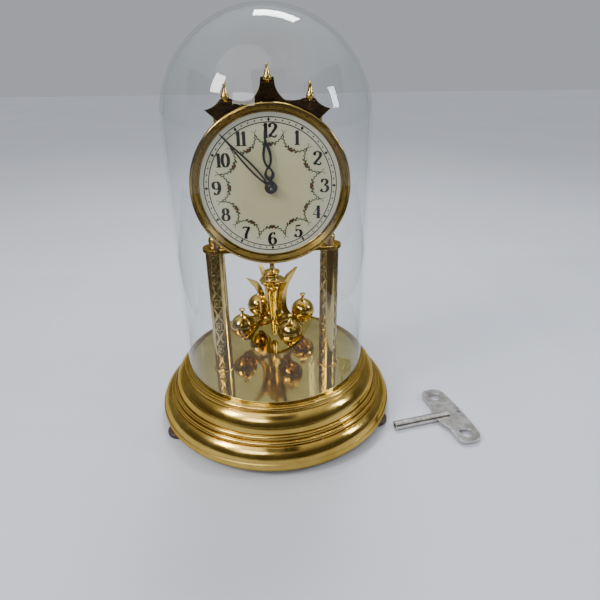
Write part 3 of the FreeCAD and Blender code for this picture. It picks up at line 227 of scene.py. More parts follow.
def turned_steel(name, light, dark, smooth):
    """Bright steel with fine cross marks and a faint darker cloud."""
    shader = Shader(name)
    clouds = shader.noise(140.0, 4.0, 0.6)
    marks = shader.noise(1.0, 3.0, 0.7, shader.stretched((4200.0, 500.0, 4200.0)))
    colour = shader.mix(shader.between(clouds, 0.3, 0.7), light, dark)
    rough = shader.between(marks, 0.3, 0.7, smooth, smooth + 0.14)
    return shader.principled(colour, rough, shader.bump(marks, 0.12, 0.00002), Metallic=1.0)


def nickel():
    """Nickel plate: warm grey, buffed, with small handling scratches and worn cloudy patches."""
    shader = Shader("nickel")
    clouds = shader.noise(120.0, 5.0, 0.6)
    scratches = shader.noise(1.0, 3.0, 0.75, shader.stretched((700.0, 5200.0, 700.0)))
    colour = shader.ramp(
        clouds, (0.32, (0.42, 0.405, 0.37)), (0.6, (0.66, 0.64, 0.60)), (0.8, (0.53, 0.50, 0.43))
    )
    rough = shader.math(
        "ADD", shader.between(clouds, 0.3, 0.75, 0.14, 0.30), shader.between(scratches, 0.5, 0.75, 0.0, 0.12)
    )
    return shader.principled(colour, rough, shader.bump(scratches, 0.18, 0.00003), Metallic=1.0)


def black_paint(name):
    """Near-black satin lacquer with faint dust and brush unevenness."""
    shader = Shader(name)
    clouds = shader.noise(420.0, 4.0, 0.6)
    colour = shader.mix(shader.between(clouds, 0.3, 0.75), (0.003, 0.003, 0.0035), (0.010, 0.0095, 0.010))
    rough = shader.between(clouds, 0.3, 0.7, 0.30, 0.46)
    normal = shader.bump(clouds, 0.15, 0.00004)
    return shader.principled(colour, rough, normal, Specular_IOR_Level=0.35)


def dial_enamel(centre):
    """Ivory dial paint, olive at the middle and greyer at the margin, with faint age mottling."""
    shader = Shader("dial_enamel")
    shift = shader.vector("DISTANCE", shader.place, centre)
    mottle = shader.noise(55.0, 5.0, 0.6)
    fine = shader.noise(1900.0, 3.0, 0.6)
    reach = shader.math("ADD", shift, shader.between(mottle, 0.0, 1.0, -0.004, 0.004))
    share = shader.between(reach, 0.0, 0.049)
    colour = shader.ramp(
        share, (0.0, (0.41, 0.38, 0.19)), (0.55, (0.46, 0.44, 0.26)), (0.80, (0.52, 0.51, 0.37)),
        (1.0, (0.55, 0.55, 0.49)),
    )
    colour = shader.mix(shader.between(fine, 0.62, 0.8, 0.0, 0.12), colour, (0.42, 0.36, 0.20))
    rough = shader.between(mottle, 0.3, 0.7, 0.38, 0.48)
    normal = shader.bump(fine, 0.04, 0.00003)
    return shader.principled(colour, rough, normal)


def printed_ink(name, first, second):
    """Transfer-printed ink that breaks up a little in colour."""
    shader = Shader(name)
    grain = shader.noise(900.0, 4.0, 0.7)
    colour = shader.mix(shader.between(grain, 0.35, 0.7), first, second)
    rough = shader.between(grain, 0.3, 0.7, 0.45, 0.6)
    normal = shader.bump(grain, 0.1, 0.00003)
    return shader.principled(colour, rough, normal, Specular_IOR_Level=0.25)


def dome_glass():
    """Clear blown glass: Fresnel reflections over an unbent view, greener where it is seen edge on."""
    shader = Shader("dome_glass")
    streaks = shader.noise(1.0, 3.0, 0.5, shader.stretched((26.0, 26.0, 5.0)))
    dust = shader.noise(650.0, 4.0, 0.6)
    normal = shader.bump(streaks, 0.03, 0.002)
    edge = shader.add("ShaderNodeLayerWeight", {"Blend": 0.22})
    tint = shader.mix(edge.outputs["Facing"], (0.995, 0.997, 0.995), (0.86, 0.89, 0.88))
    clear = shader.add("ShaderNodeBsdfTransparent", {"Color": tint})
    rough = shader.between(dust, 0.5, 0.8, 0.015, 0.06)
    white = (1.0, 1.0, 1.0, 1.0)
    gloss = shader.add("ShaderNodeBsdfGlossy", {"Color": white, "Roughness": rough, "Normal": normal})
    fresnel = shader.add("ShaderNodeFresnel", {"IOR": 1.45, "Normal": normal})
    side = shader.add("ShaderNodeNewGeometry").outputs["Backfacing"]
    mirror = shader.math("MULTIPLY", fresnel.outputs[0], shader.math("SUBTRACT", 1.0, side))
    return shader.blend(mirror, clear.outputs[0], gloss.outputs[0])


def brown_bakelite():
    """Dark brown moulded plastic, lighter and dusty in random swirls."""
    shader = Shader("brown_bakelite")
    swirl = shader.noise(130.0, 6.0, 0.7)
    colour = shader.ramp(
        swirl, (0.3, (0.030, 0.012, 0.008)), (0.6, (0.065, 0.026, 0.014)), (0.8, (0.11, 0.05, 0.028))
    )
    rough = shader.between(swirl, 0.3, 0.7, 0.22, 0.42)
    normal = shader.bump(swirl, 0.1, 0.0001)
    return shader.principled(colour, rough, normal, Coat_Weight=0.3)


def weight_iron():
    """Painted cast iron with a sandy skin."""
    shader = Shader("weight_iron")
    sand = shader.noise(1500.0, 5.0, 0.7)
    clouds = shader.noise(70.0, 4.0, 0.6)
    colour = shader.mix(shader.between(clouds, 0.3, 0.7), (0.035, 0.034, 0.033), (0.075, 0.068, 0.060))
    rough = shader.between(sand, 0.3, 0.7, 0.5, 0.75)
    return shader.principled(colour, rough, shader.bump(sand, 0.4, 0.0002))


def pale_floor():
    """A plain matt pale table top with a faint grain."""
    shader = Shader("pale_floor")
    clouds = shader.noise(3.0, 3.0, 0.5)
    grain = shader.noise(900.0, 3.0, 0.6)
    colour = shader.mix(shader.between(clouds, 0.3, 0.7), (0.51, 0.535, 0.60), (0.545, 0.57, 0.63))
    return shader.principled(colour, 0.62, shader.bump(grain, 0.05, 0.0002))


def card_brown():
    """Dark brown card with a faint fibre."""
    shader = Shader("card_brown")
    fibre = shader.noise(60.0, 4.0, 0.6)
    colour = shader.mix(shader.between(fibre, 0.3, 0.7), (0.020, 0.014, 0.009), (0.040, 0.028, 0.018))
    return shader.principled(colour, 0.9)


# ---- mesh helpers

def section(corners, fine=10):
    """Section points in metres from millimetre corners (radius, height[, arc]).

    A third value is the radius of an arc from the corner before, which bows to the right of the
    way when it is positive and to the left when it is negative.
    """
    points = []
    for corner in corners:
        end = Vector(corner[:2]) * MM
        if len(corner) == 3:
            start = points[-1]
            way = end - start
            reach = abs(corner[2]) * MM
            rise = sqrt(max(reach * reach - way.length_squared / 4, 0.0))
            right = Vector((way.y, -way.x)).normalized() * copysign(1.0, corner[2])
            centre = (start + end) / 2 - right * rise
            first = atan2(*(start - centre).yx)
            sweep = (atan2(*(end - centre).yx) - first + pi) % tau - pi
            for step in range(1, fine):
                turn = first + sweep * step / fine
                points.append(centre + Vector((cos(turn), sin(turn))) * reach)
        points.append(end)
    return points


def lathe(outline, steps=160, ripple=None, closed=True):
    """A mesh turned about Z from a section of (radius, height) points.

    ripple(radius, height, turn) gives the radius to use at each turn, for flutes and ribs. The
    section's last point is joined to its first one unless closed is off.
    """
    shape = bmesh.new()
    rings = []
    for radius, height in outline:
        if radius < ON_AXIS:
            rings.append([shape.verts.new((0.0, 0.0, height))])
            continue
        ring = []
        for step in range(steps):
            turn = tau * step / steps
            reach = ripple(radius, height, turn) if ripple else radius
            ring.append(shape.verts.new((reach * cos(turn), reach * sin(turn), height)))
        rings.append(ring)
    pairs = list(zip(rings, rings[1:]))
    if closed and len(rings[0]) > 1:
        pairs.append((rings[-1], rings[0]))
    for low, high in pairs:
        for step in range(steps):
            corners = [low[step % len(low)], low[(step + 1) % steps % len(low)]]
            corners += [high[(step + 1) % steps % len(high)], high[step % len(high)]]
            face = list(dict.fromkeys(corners))
            if len(face) > 2:
                shape.faces.new(face)
    bmesh.ops.recalc_face_normals(shape, faces=shape.faces)
    return shape


def prism(shape, points, high):
    """Adds a closed straight prism over a loop of (x, y) points to a bmesh."""
    floor = [shape.verts.new((x, y, 0.0)) for x, y in points]
    roof = [shape.verts.new((x, y, high)) for x, y in points]
    shape.faces.new(floor[::-1])
    shape.faces.new(roof)
    for step in range(len(points)):
        after = (step + 1) % len(points)
        shape.faces.new((floor[step], floor[after], roof[after], roof[step]))


def moved(shape, matrix):
    """The same bmesh after a transform."""
    bmesh.ops.transform(shape, matrix=matrix, verts=shape.verts)
    return shape


def stood(shape, place, height):
    """The same bmesh with its origin moved over a place, at a height."""
    return moved(shape, Matrix.Translation((place.x, place.y, height)))


def middle_of(node):
    """The middle of a CAD node's box."""
    low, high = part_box(node)
    return (low + high) / 2


def as_mesh(name, shape):
    """A mesh with the faces of a bmesh, which is freed."""
    mesh = bpy.data.meshes.new(name)
    shape.to_mesh(mesh)
    shape.free()
    return mesh


def joined(shapes):
    """One bmesh of several."""
    whole = bmesh.new()
    for shape in shapes:
        part = as_mesh("part", shape)
        whole.from_mesh(part)
        bpy.data.meshes.remove(part)
    return whole


def towards_front(x, y, z):
    """Turns a shape built on the XY plane to stand in the dial's plane, with its origin at (x, y, z)."""
    return Matrix.Translation((x, y, z)) @ Matrix.Rotation(pi / 2, 4, "X")


def put(name, data, place=(0.0, 0.0, 0.0), target=None):
    """A new object in the scene, with its -Z axis turned to a target when one is given."""
    thing = bpy.data.objects.new(name, data)
    bpy.context.scene.collection.objects.link(thing)
    thing.location = place
    if target:
        thing.rotation_euler = (Vector(target) - Vector(place)).to_track_quat("-Z", "Y").to_euler()
    return thing


def add_piece(name, shape, node, stands=True, material=None, sharp=38):
    """Makes an object of a bmesh with a CAD node's slot and body, to stand for that node or beside it."""
    mesh = as_mesh(name, shape)
    mesh.polygons.foreach_set("use_smooth", [True] * len(mesh.polygons))
    mesh.set_sharp_from_angle(angle=radians(sharp))
    mesh.materials.append(material or MATERIALS[slot_of[node]])
    piece = put(name, mesh)
    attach(piece, body_of[node])
    if stands:
        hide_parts(node)
    return piece


def soften(piece, width, segments=3):
    """Rounds a piece's sharp edges by a width in millimetres."""
    edges = piece.modifiers.new("edges", "BEVEL")
    edges.width = width * MM
    edges.segments = segments
    edges.limit_method = "ANGLE"
    edges.angle_limit = radians(30)
    edges.miter_outer = "MITER_ARC"
    normals = piece.modifiers.new("normals", "WEIGHTED_NORMAL")
    normals.keep_sharp = True


def softened_node(node, width, segments=2):
    """A copy of a CAD node with its edges rounded, standing for it."""
    shape = bmesh.new()
    shape.from_mesh(nodes[node].data)
    bmesh.ops.remove_doubles(shape, verts=shape.verts, dist=2e-6)
    bmesh.ops.dissolve_limit(shape, angle_limit=radians(0.4), verts=shape.verts, edges=shape.edges)
    soften(add_piece(node + "_finished", shape, node), width, segments)


# ---- base and dome

def build_base():
    """The spun shell with its rings, and the mirror deck inside it."""
    low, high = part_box("base_shell")
    edge, bottom, top = high.x / MM, low.z / MM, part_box("deck_plate")[1].z / MM
    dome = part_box("glass_dome")[1].x / MM
    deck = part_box("deck_plate")[0].z / MM
    foot_bore, deck_bore, sheet = 90, 12, 1.2

    def from_edge(*steps):
        """Corners from (distance inside the edge, height above the bottom[, arc])."""
        return [(edge - inset, bottom + rise, *arc) for inset, rise, *arc in steps]

    outside = [(foot_bore, bottom)] + from_edge(
        (1.8, 0), (0, 3.5, 9.0), (0.2, 6.8), (0.9, 7.2),
        (6.8, 16.7, 13.0), (7.0, 16.1), (7.6, 16.1), (7.8, 17.3),
        (9.4, 19.4, 1.7), (9.6, 18.9), (10.2, 18.9), (10.4, 20.6),
        (11.9, 22.8, 1.7), (12.1, 22.3), (12.7, 22.3), (13.0, 25.2),
        (19.8, 35.7, 15.0), (20.1, 35.4), (20.5, 35.5), (20.9, 37.2),
    ) + [
        (dome + 2.3, top - 0.5, 1.5), (dome + 2.1, top - 1.0), (dome + 1.7, top - 1.0),
        (dome + 1.5, top - 0.3), (dome + 0.6, top - 0.1, 1.0), (dome + 0.5, deck), (deck_bore, deck),
    ]
    inside = [(deck_bore, deck - sheet), (dome + 1.9, deck - sheet)] + from_edge(
        (21.1, 35.2), (14.8, 24.4), (13.6, 20.4), (11.0, 16.0), (7.9, 15.4), (3.4, 9.4), (1.5, 5.6),
        (1.6, 3.4),
    ) + [(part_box("base_weight")[1].x / MM + 0.3, bottom + 0.8), (foot_bore, bottom + 0.8)]
    shell = add_piece("base_turning", lathe(section(outside + inside), 256), "base_shell", sharp=50)
    soften(shell, 0.12, 2)

    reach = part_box("deck_plate")[1].x / MM
    disc = [(0, deck), (reach, deck), (reach, top), (0, top)]
    plate = add_piece("deck_mirror", lathe(section(disc), 192), "deck_plate", material=DECK_BRASS)
    soften(plate, 0.3)


def ribbed(ribs, depth, low, high):
    """A ripple that cuts this many round flutes, this deep in millimetres, between two heights."""
    def reach(radius, height, turn):
        if not low < height / MM < high:
            return radius
        return radius - depth * MM * (0.5 - 0.5 * cos(ribs * turn)) ** 1.5
    return reach


def build_feet():
    """Three moulded discs with ribbed edges, each with its screw, as one piece of plastic."""
    ribs, depth = 30, 0.7
    screw, screw_top = 1.95, 15.2
    for node in ("levelling_foot_front_left", "levelling_foot_front_right", "levelling_foot_rear"):
        low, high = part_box(node)
        middle = middle_of(node)
        radius = (high.x - low.x) / 2 / MM
        outline = section([
            (0, 0), (radius - 1.6, 0), (radius - 0.9, 0.35), (radius, 1.2), (radius, 2.6), (radius, 4.0),
            (radius - 0.9, 4.85), (radius - 2.6, 5.2), (3.2, 5.2), (3.0, 5.7), (screw, 5.8), (screw, 10),
            (screw, screw_top), (0, screw_top),
        ])
        foot = stood(lathe(outline, 180, ribbed(ribs, depth, 0.5, 4.7)), middle, low.z)
        soften(add_piece(node + "_ribbed", foot, node), 0.12, 2)


def build_dome():
    """The blown glass dome with a fire-rounded rim."""
    low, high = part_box("glass_dome")
    thick = 2.2
    outer, crown = high.x / MM, high.z / MM
    inner, rim_height = outer - thick, low.z / MM + thick / 2
    straight = crown - outer
    quarter = [pi / 2 * step / 40 for step in range(41)]
    wall = [(outer, rim_height)]
    wall += [(outer * cos(turn), straight + outer * sin(turn)) for turn in quarter]
    wall[-1] = (0.0, crown)
    lining = [(inner * cos(turn), straight + inner * sin(turn)) for turn in reversed(quarter)]
    lining[0] = (0.0, straight + inner)
    rim = section([(inner, rim_height), (outer, rim_height, -thick / 2 - 0.0001)], 8)[:-1]
    glass = lathe(rim + section(wall), 192, closed=False)
    shape = joined([glass, lathe(section(lining) + [rim[0]], 192, closed=False)])
    bmesh.ops.remove_doubles(shape, verts=shape.verts, dist=1e-6)
    bmesh.ops.recalc_face_normals(shape, faces=shape.faces)
    add_piece("dome_blown", shape, "glass_dome", sharp=80)


# ---- columns and platform

def within(room, soft):
    """1 where there is room, 0 where it is short, with a soft step between."""
    return min(max(room / soft + 0.5, 0.0), 1.0)


def inside_ellipse(across, along, half_width, half_length, turn=0.0):
    """1 inside an ellipse, 0 outside, with a soft edge. All lengths in millimetres."""
    x = across * cos(turn) + along * sin(turn)
    y = along * cos(turn) - across * sin(turn)
    return within(1.0 - hypot(x / half_width, y / half_length), 0.25)


def engraving(across, along):
    """Relief from 0 to 1 of one engraved panel: a flower, four leaves and an oval wreath in each unit."""
    unit, border = 19.4, 4.0
    place = along % unit - unit / 2
    petal = 1.0 + 1.2 * abs(cos(2.5 * atan2(place, across))) ** 0.7
    level = within(petal - hypot(across, place), 0.3)
    for side in (-1, 1):
        for way in (-1, 1):
            leaf = inside_ellipse(across - side * 1.9, place - way * 3.5, 0.85, 2.3, -side * way * 0.55)
            bud = inside_ellipse(across - side * 2.9, place - way * 6.4, 0.6, 1.3, side * way * 0.7)
            level = max(level, leaf, bud)
    other = place % unit - unit / 2
    ring = abs(hypot(across / 1.9, other / 3.3) - 1.0)
    vine = abs(across - 3.1 * sin(tau * along / unit * 2))
    level = max(level, within(0.17 - ring, 0.08), inside_ellipse(across, other, 0.7, 1.7))
    level = max(level, within(0.22 - vine, 0.2) * 0.8)
    return 1.0 if abs(across) > border - 0.3 else level


def build_column(node, first_panel):
    """A tube with three engraved panels between plain bands; first_panel is the first one's angle."""
    half_panel, band = radians(37), 1.6
    cut, bore, rows = 0.16, 2.6, 300
    low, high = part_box(node)
    middle = middle_of(node)
    radius = (high.x - low.x) / 2
    length = (high.z - low.z) / MM
    relief = {}

    def reach(ring_radius, height, turn):
        if ring_radius < radius * 0.9:
            return ring_radius
        side = (turn - first_panel + pi / 3) % (tau / 3) - pi / 3
        along = height / MM
        level = 1.0
        if abs(side) < half_panel and band < along < length - band:
            level = engraving(side * radius / MM, along)
        relief[round(turn, 5), round(height, 7)] = level
        return radius - cut * MM * (1.0 - level)

    wall = [(radius / MM, length * row / rows) for row in range(rows + 1)]
    shape = lathe(section([(bore, 0)] + wall + [(bore, length)]), 168, reach)
    levels = shape.verts.layers.float.new("relief")
    for vert in shape.verts:
        turn = atan2(vert.co.y, vert.co.x) % tau
        vert[levels] = relief.get((round(turn, 5), round(vert.co.z, 7)), 1.0)
    shape = stood(shape, middle, low.z)
    add_piece(node + "_engraved", shape, node, sharp=60)


def build_column_trim():
    """Turned foot rings under the columns and ball nuts above the platform."""
    centres = [middle_of(node) for node in ("column_left", "column_right")]
    low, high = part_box("column_foot_rings")
    radius, bore = (high.y - low.y) / 2 / MM, 2.6
    tall = (high.z - low.z) / MM
    ring = [(bore, 0), (radius, 0), (radius, tall * 0.45, 0.6), (radius - 0.7, tall * 0.6),
            (radius - 0.7, tall), (bore, tall)]
    rings = [stood(lathe(section(ring), 96), place, low.z) for place in centres]
    feet = add_piece("column_feet_beaded", joined(rings), "column_foot_rings")
    soften(feet, 0.15)

    low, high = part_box("column_ball_nuts")
    tall, radius, neck = (high.z - low.z) / MM, 4.0, 1.75
    middle = tall - radius
    outline = [(0, 0), (4.1, 0), (4.2, 0.4), (3.9, 1.0, 0.8), (3.0, 1.25), (2.85, 1.6)]
    start = asin((neck - middle) / radius)
    for step in range(1, 25):
        turn = start + (pi / 2 - start) * step / 24
        outline.append((radius * cos(turn), middle + radius * sin(turn)))
    outline[-1] = (0, tall)
    nuts = [stood(lathe(section(outline), 72), place, low.z) for place in centres]
    add_piece("column_balls_turned", joined(nuts), "column_ball_nuts")


# ---- dial

# Pen strokes of each numeral on a square of 100 units; a 9 is a 6 turned over.
PEN_STROKES = {
    "0": [("loop", 50, 50, 23, 47)],
    "1": [("line", (50, 0), (50, 50), (50, 100)), ("thin", (50, 98), (38, 86), (30, 80)),
          ("slab", (30, 2), (70, 2))],
    "2": [("line", (28, 74), (33, 90), (50, 98), (70, 88), (72, 68), (56, 44), (36, 22), (24, 6)),
          ("wave", (24, 7), (40, 11), (58, 4), (72, 7), (77, 20)), ("dot", 30, 76)],
    "3": [("line", (29, 82), (38, 95), (52, 98), (68, 88), (68, 68), (50, 54)),
          ("line", (50, 54), (72, 44), (76, 22), (62, 5), (44, 2), (29, 10), (26, 20)),
          ("dot", 31, 79), ("dot", 30, 21)],
    "4": [("line", (60, 100), (60, 50), (60, 0)), ("thin", (58, 98), (38, 60), (20, 29)),
          ("slab", (20, 29), (80, 29)), ("slab", (44, 2), (76, 2))],
    "5": [("wave", (34, 93), (50, 94), (70, 97)), ("thin", (35, 95), (33, 72), (31, 52)),
          ("line", (31, 52), (46, 61), (66, 54), (75, 30), (62, 6), (44, 2), (30, 10), (27, 20)),
          ("dot", 31, 20)],
    "6": [("line", (68, 88), (58, 97), (42, 90), (28, 64), (26, 36), (34, 10), (50, 2),
           (68, 10), (74, 30), (66, 50), (50, 56), (34, 48), (27, 34)), ("dot", 67, 86)],
    "7": [("wave", (26, 90), (44, 96), (60, 90), (76, 95)), ("thin", (26, 98), (25, 88), (25, 78)),
          ("line", (76, 95), (58, 60), (47, 30), (45, 0))],
    "8": [("loop", 50, 75, 18, 22), ("loop", 50, 28, 24, 25)],
}
PEN_WIDTHS = {"thin": 0.055, "slab": 0.065, "wave": 0.12}
INK = 0.05 * MM


def smooth_path(points, fine=7):
    """Points of a Catmull-Rom curve through the given points."""
    knots = [Vector(point) for point in points]
    knots = [knots[0] * 2 - knots[1]] + knots + [knots[-1] * 2 - knots[-2]]
    path = []
    for before, start, end, after in zip(knots, knots[1:], knots[2:], knots[3:]):
        for step in range(fine):
            t = step / fine
            bend = 2 * before - 5 * start + 4 * end - after
            twist = 3 * start - before - 3 * end + after
            path.append(0.5 * (2 * start + (end - before) * t + bend * t * t + twist * t ** 3))
    path.append(knots[-2])
    return path


def ribbon(shape, path, width, high, closed=False):
    """Adds a flat closed strip along a path; width(direction) gives its width there."""
    rows = []
    count = len(path)
    for step, point in enumerate(path):
        before = path[step - 1] if step or closed else path[0]
        after = path[(step + 1) % count] if step < count - 1 or closed else path[-1]
        way = (after - before).normalized()
        side = Vector((-way.y, way.x)) * (width(way) / 2)
        rows.append([
            shape.verts.new((*(point + side), 0.0)), shape.verts.new((*(point - side), 0.0)),
            shape.verts.new((*(point - side), high)), shape.verts.new((*(point + side), high)),
        ])
    ends = list(zip(rows, rows[1:]))
    if closed:
        ends.append((rows[-1], rows[0]))
    else:
        shape.faces.new(rows[0])
        shape.faces.new(rows[-1][::-1])
    for first, second in ends:
        for side in range(4):
            after = (side + 1) % 4
            shape.faces.new((first[side], second[side], second[after], first[after]))


def circle(x, y, radius, count=20, stretch=1.0, turn=0.0):
    """Points of a circle, or of an ellipse when stretch isn't 1."""
    points = []
    for step in range(count):
        angle = tau * step / count
        across, along = radius * stretch * cos(angle), radius * sin(angle)
        points.append((
            x + across * cos(turn) - along * sin(turn),
            y + across * sin(turn) + along * cos(turn),
        ))
    return points


def draw_digit(shape, digit, x, y, tall, high):
    """Adds one upright numeral, drawn with a pen that is broad on its upright strokes."""
    thick, thin = 0.24 * tall, 0.075 * tall
    flip = -1 if digit == "9" else 1

    def spot(point):
        across, along = (Vector(point) / 100 - Vector((0.5, 0.5))) * flip
        return Vector((x + across * tall, y + along * tall))

    def pen(way):
        return thin + (thick - thin) * abs(way.y) ** 1.6

    for kind, *points in PEN_STROKES["6" if flip < 0 else digit]:
        if kind == "loop":
            across, along, half_width, half_height = points
            turns = [tau * step / 36 for step in range(36)]
            path = [spot((across + half_width * cos(turn), along + half_height * sin(turn)))
                    for turn in turns]
            ribbon(shape, path, pen, high, closed=True)
        elif kind == "dot":
            prism(shape, circle(*spot(points), 0.075 * tall), high)
        else:
            width = (lambda way: PEN_WIDTHS[kind] * tall) if kind in PEN_WIDTHS else pen
            ribbon(shape, smooth_path([spot(point) for point in points]), width, high)


def build_dial():
    """The ivory disc with its printed minute ring, upright numerals and ring of garlands."""
    low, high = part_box("dial")
    radius, bore = (high.x - low.x) / 2 / MM, 3.2
    thick = (high.y - low.y) / MM
    plane = towards_front(DIAL_CENTRE.x, low.y, DIAL_CENTRE.z)
    disc = [(bore, -thick), (radius, -thick), (radius, 0), (bore, 0)]
    shape = moved(lathe(section(disc), 192), plane)
    soften(add_piece("dial_plate", shape, "dial"), 0.12, 2)
    build_numerals(plane)
    build_minute_ring(plane)
    build_garlands(plane)


def build_numerals(plane):
    """The upright numerals 1 to 12."""
    hour_circle, tall = 34.9 * MM, 8.6 * MM
    numerals = bmesh.new()
    for hour in range(1, 13):
        angle = radians(90 - 30 * hour)
        x, y = hour_circle * cos(angle), hour_circle * sin(angle)
        digits = str(hour)
        gap = 0.46 if hour != 11 else 0.40
        for number, digit in enumerate(digits):
            shift = (number - (len(digits) - 1) / 2) * gap * tall
            if digit in "02" and len(digits) > 1:
                shift += 0.03 * tall
            draw_digit(numerals, digit, x + shift, y, tall, INK)
    add_piece("dial_numerals", moved(numerals, plane), "dial", False, INK_BLACK)


def build_minute_ring(plane):
    """Two thin lines with a dot for each minute and a crossed lozenge for each hour between them."""
    track = bmesh.new()
    inner_line, outer_line, line = 39.8 * MM, 42.8 * MM, 0.60 * MM
    middle = (inner_line + outer_line) / 2
    for reach in (inner_line, outer_line):
        path = [Vector(point) for point in circle(0.0, 0.0, reach, 240)]
        ribbon(track, path, lambda way: line, INK, closed=True)
    for minute in range(60):
        angle = tau * minute / 60
        x, y = middle * cos(angle), middle * sin(angle)
        if minute % 5:
            prism(track, circle(x, y, 0.50 * MM, 12), INK)
        else:
            prism(track, circle(x, y, 0.60 * MM, 4, 2.6, angle), INK)
            prism(track, circle(x, y, 0.85 * MM, 16), INK)
    add_piece("dial_minute_ring", moved(track, plane), "dial", False, INK_BLACK)


def build_garlands(plane):
    """Twelve leafy scallops, one round the foot of each numeral, with a flower at each middle."""
    vines, flowers, hearts = bmesh.new(), bmesh.new(), bmesh.new()
    hub, scallop, sweep = 36.0 * MM, 9.3 * MM, radians(72)
    for hour in range(12):
        spoke = tau * hour / 12
        along = Vector((cos(spoke), sin(spoke)))
        side = Vector((-along.y, along.x))
        middle = along * hub

        def at(turn, reach=scallop):
            return middle - along * (reach * cos(turn)) + side * (reach * sin(turn))

        path = [at(-sweep + 2 * sweep * step / 40) for step in range(41)]
        ribbon(vines, path, lambda way: 0.42 * MM, INK)
        for way in (-1, 1):
            tip = [at(way * sweep), at(way * sweep * 1.08, scallop * 0.94),
                   at(way * sweep * 1.20, scallop * 0.84)]
            ribbon(vines, smooth_path(tip, 4), lambda way: 0.34 * MM, INK)
        for step in [*range(-9, 0), *range(1, 10)]:
            turn = sweep * step / 10
            outward = 1 if step % 2 else -1
            size = (0.75 if abs(step) > 3 else 1.25) * MM
            spot = at(turn, scallop + outward * 0.5 * size)
            lean = spoke - turn + outward * 0.6
            prism(vines, circle(spot.x, spot.y, size * 0.44, 10, 2.0, lean + pi / 2), INK)
        bloom = at(0.0)
        for petal in range(5):
            turn = spoke + tau * petal / 5
            spot = bloom + Vector((cos(turn), sin(turn))) * 0.72 * MM
            prism(flowers, circle(spot.x, spot.y, 0.62 * MM, 12, 1.15, turn), INK * 1.4)
        prism(hearts, circle(bloom.x, bloom.y, 0.36 * MM, 12), INK * 2)
        for way in (-1, 1):
            spot = at(way * radians(12))
            prism(flowers, circle(spot.x, spot.y, 0.42 * MM, 10), INK * 1.2)
    add_piece("dial_garlands", moved(vines, plane), "dial", False, INK_GREEN)
    add_piece("dial_flowers", moved(flowers, plane), "dial", False, INK_RED)
    add_piece("dial_flower_hearts", moved(hearts, plane), "dial", False, INK_OCHRE)


def build_bezel():
    """The polished bezel ring with its mirror slope, and the pan behind the dial."""
    low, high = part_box("bezel")
    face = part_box("dial")[0].y
    centre = middle_of("bezel")
    radius = (high.x - low.x) / 2 / MM
    back, lip = (face - high.y) / MM, (face - low.y) / MM
    outline = [
        (radius - 0.9, back), (radius, back), (radius, lip - 1.9), (radius - 1.4, lip - 0.1, 1.5),
        (radius - 1.9, lip - 0.15, 0.5), (radius - 2.1, lip - 1.0), (radius - 2.4, lip - 1.0),
        (radius - 2.6, lip - 0.35), (46.9, 1.2), (46.7, 0.4), (46.3, 0.4), (46.2, 0.9), (45.7, 0.7, 0.5),
        (45.6, 0.0), (46.7, 0.0), (radius - 2.3, lip - 1.6), (radius - 0.9, lip - 2.6),
    ]
    ring = moved(lathe(section(outline), 256), towards_front(centre.x, face, centre.z))
    bezel = add_piece("bezel_turned", ring, "bezel", material=BEZEL_BRASS)
    soften(bezel, 0.12, 2)
    softened_node("dial_pan", 0.2)


def build_crown():
    """The sheet crown and its three turned finials on small bent tabs."""
    softened_node("crown_ornament", 0.25, 3)
    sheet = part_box("crown_ornament")[0].y
    axis_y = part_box("crown_finials")[0].y + 2.6 * MM
    finials, tabs = [], []
    spire = [(0, -2.9), (1.2, -2.8), (1.5, -2.4), (1.2, -2.2)]
    for degrees in range(-58, 42, 8):
        spire.append((2.6 * cos(radians(degrees)), 2.35 * sin(radians(degrees))))
    spire += [(1.75, 2.2), (1.45, 3.6), (1.15, 5.0), (0.95, 6.2), (0.95, 6.7), (1.1, 7.2), (0.95, 7.8),
              (0.55, 8.2), (0, 8.3)]
    half, deep, thick = 3.6 * MM, sheet - axis_y + 2.2 * MM, 0.7 * MM
    for x, rise in ((0.0, 64.6), (-25.6, 54.2), (25.6, 54.2)):
        spot = Vector((x * MM, axis_y, DIAL_CENTRE.z + rise * MM))
        finials.append(moved(lathe(section(spire), 64), Matrix.Translation(spot)))
        tab = bmesh.new()
        prism(tab, [(-half, 0), (half, 0), (half, deep - half * 0.5), (half * 0.6, deep),
                    (-half * 0.6, deep), (-half, deep - half * 0.5)], thick)
        place = Matrix.Translation((spot.x, sheet + 0.1 * MM, spot.z - 3.2 * MM))
        tabs.append(moved(tab, place @ Matrix.Rotation(pi, 4, "Z")))
    add_piece("crown_finials_turned", joined(finials), "crown_finials")
    soften(add_piece("crown_tabs", joined(tabs), "crown_ornament", False), 0.2, 3)


def build_hands():
    """Blackened leaf hands with turned hubs, and the nut in front."""
    for node, hub, bore in (("hour_hand", 4.1, 2.3), ("minute_hand", 3.6, 1.5)):
        softened_node(node, 0.12, 2)
        low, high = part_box(node)
        thick = (high.y - low.y) / MM
        outline = [(bore, 0), (hub - 0.3, 0), (hub, thick * 0.5, 0.5), (hub - 0.5, thick + 0.35),
                   (bore, thick + 0.5)]
        boss = moved(lathe(section(outline), 72), towards_front(0.0, high.y, DIAL_CENTRE.z))
        soften(add_piece(node + "_boss", boss, node, False), 0.08, 2)
    softened_node("hand_nut", 0.15, 3)


# ---- pendulum

GALLERY_FLOOR = 99


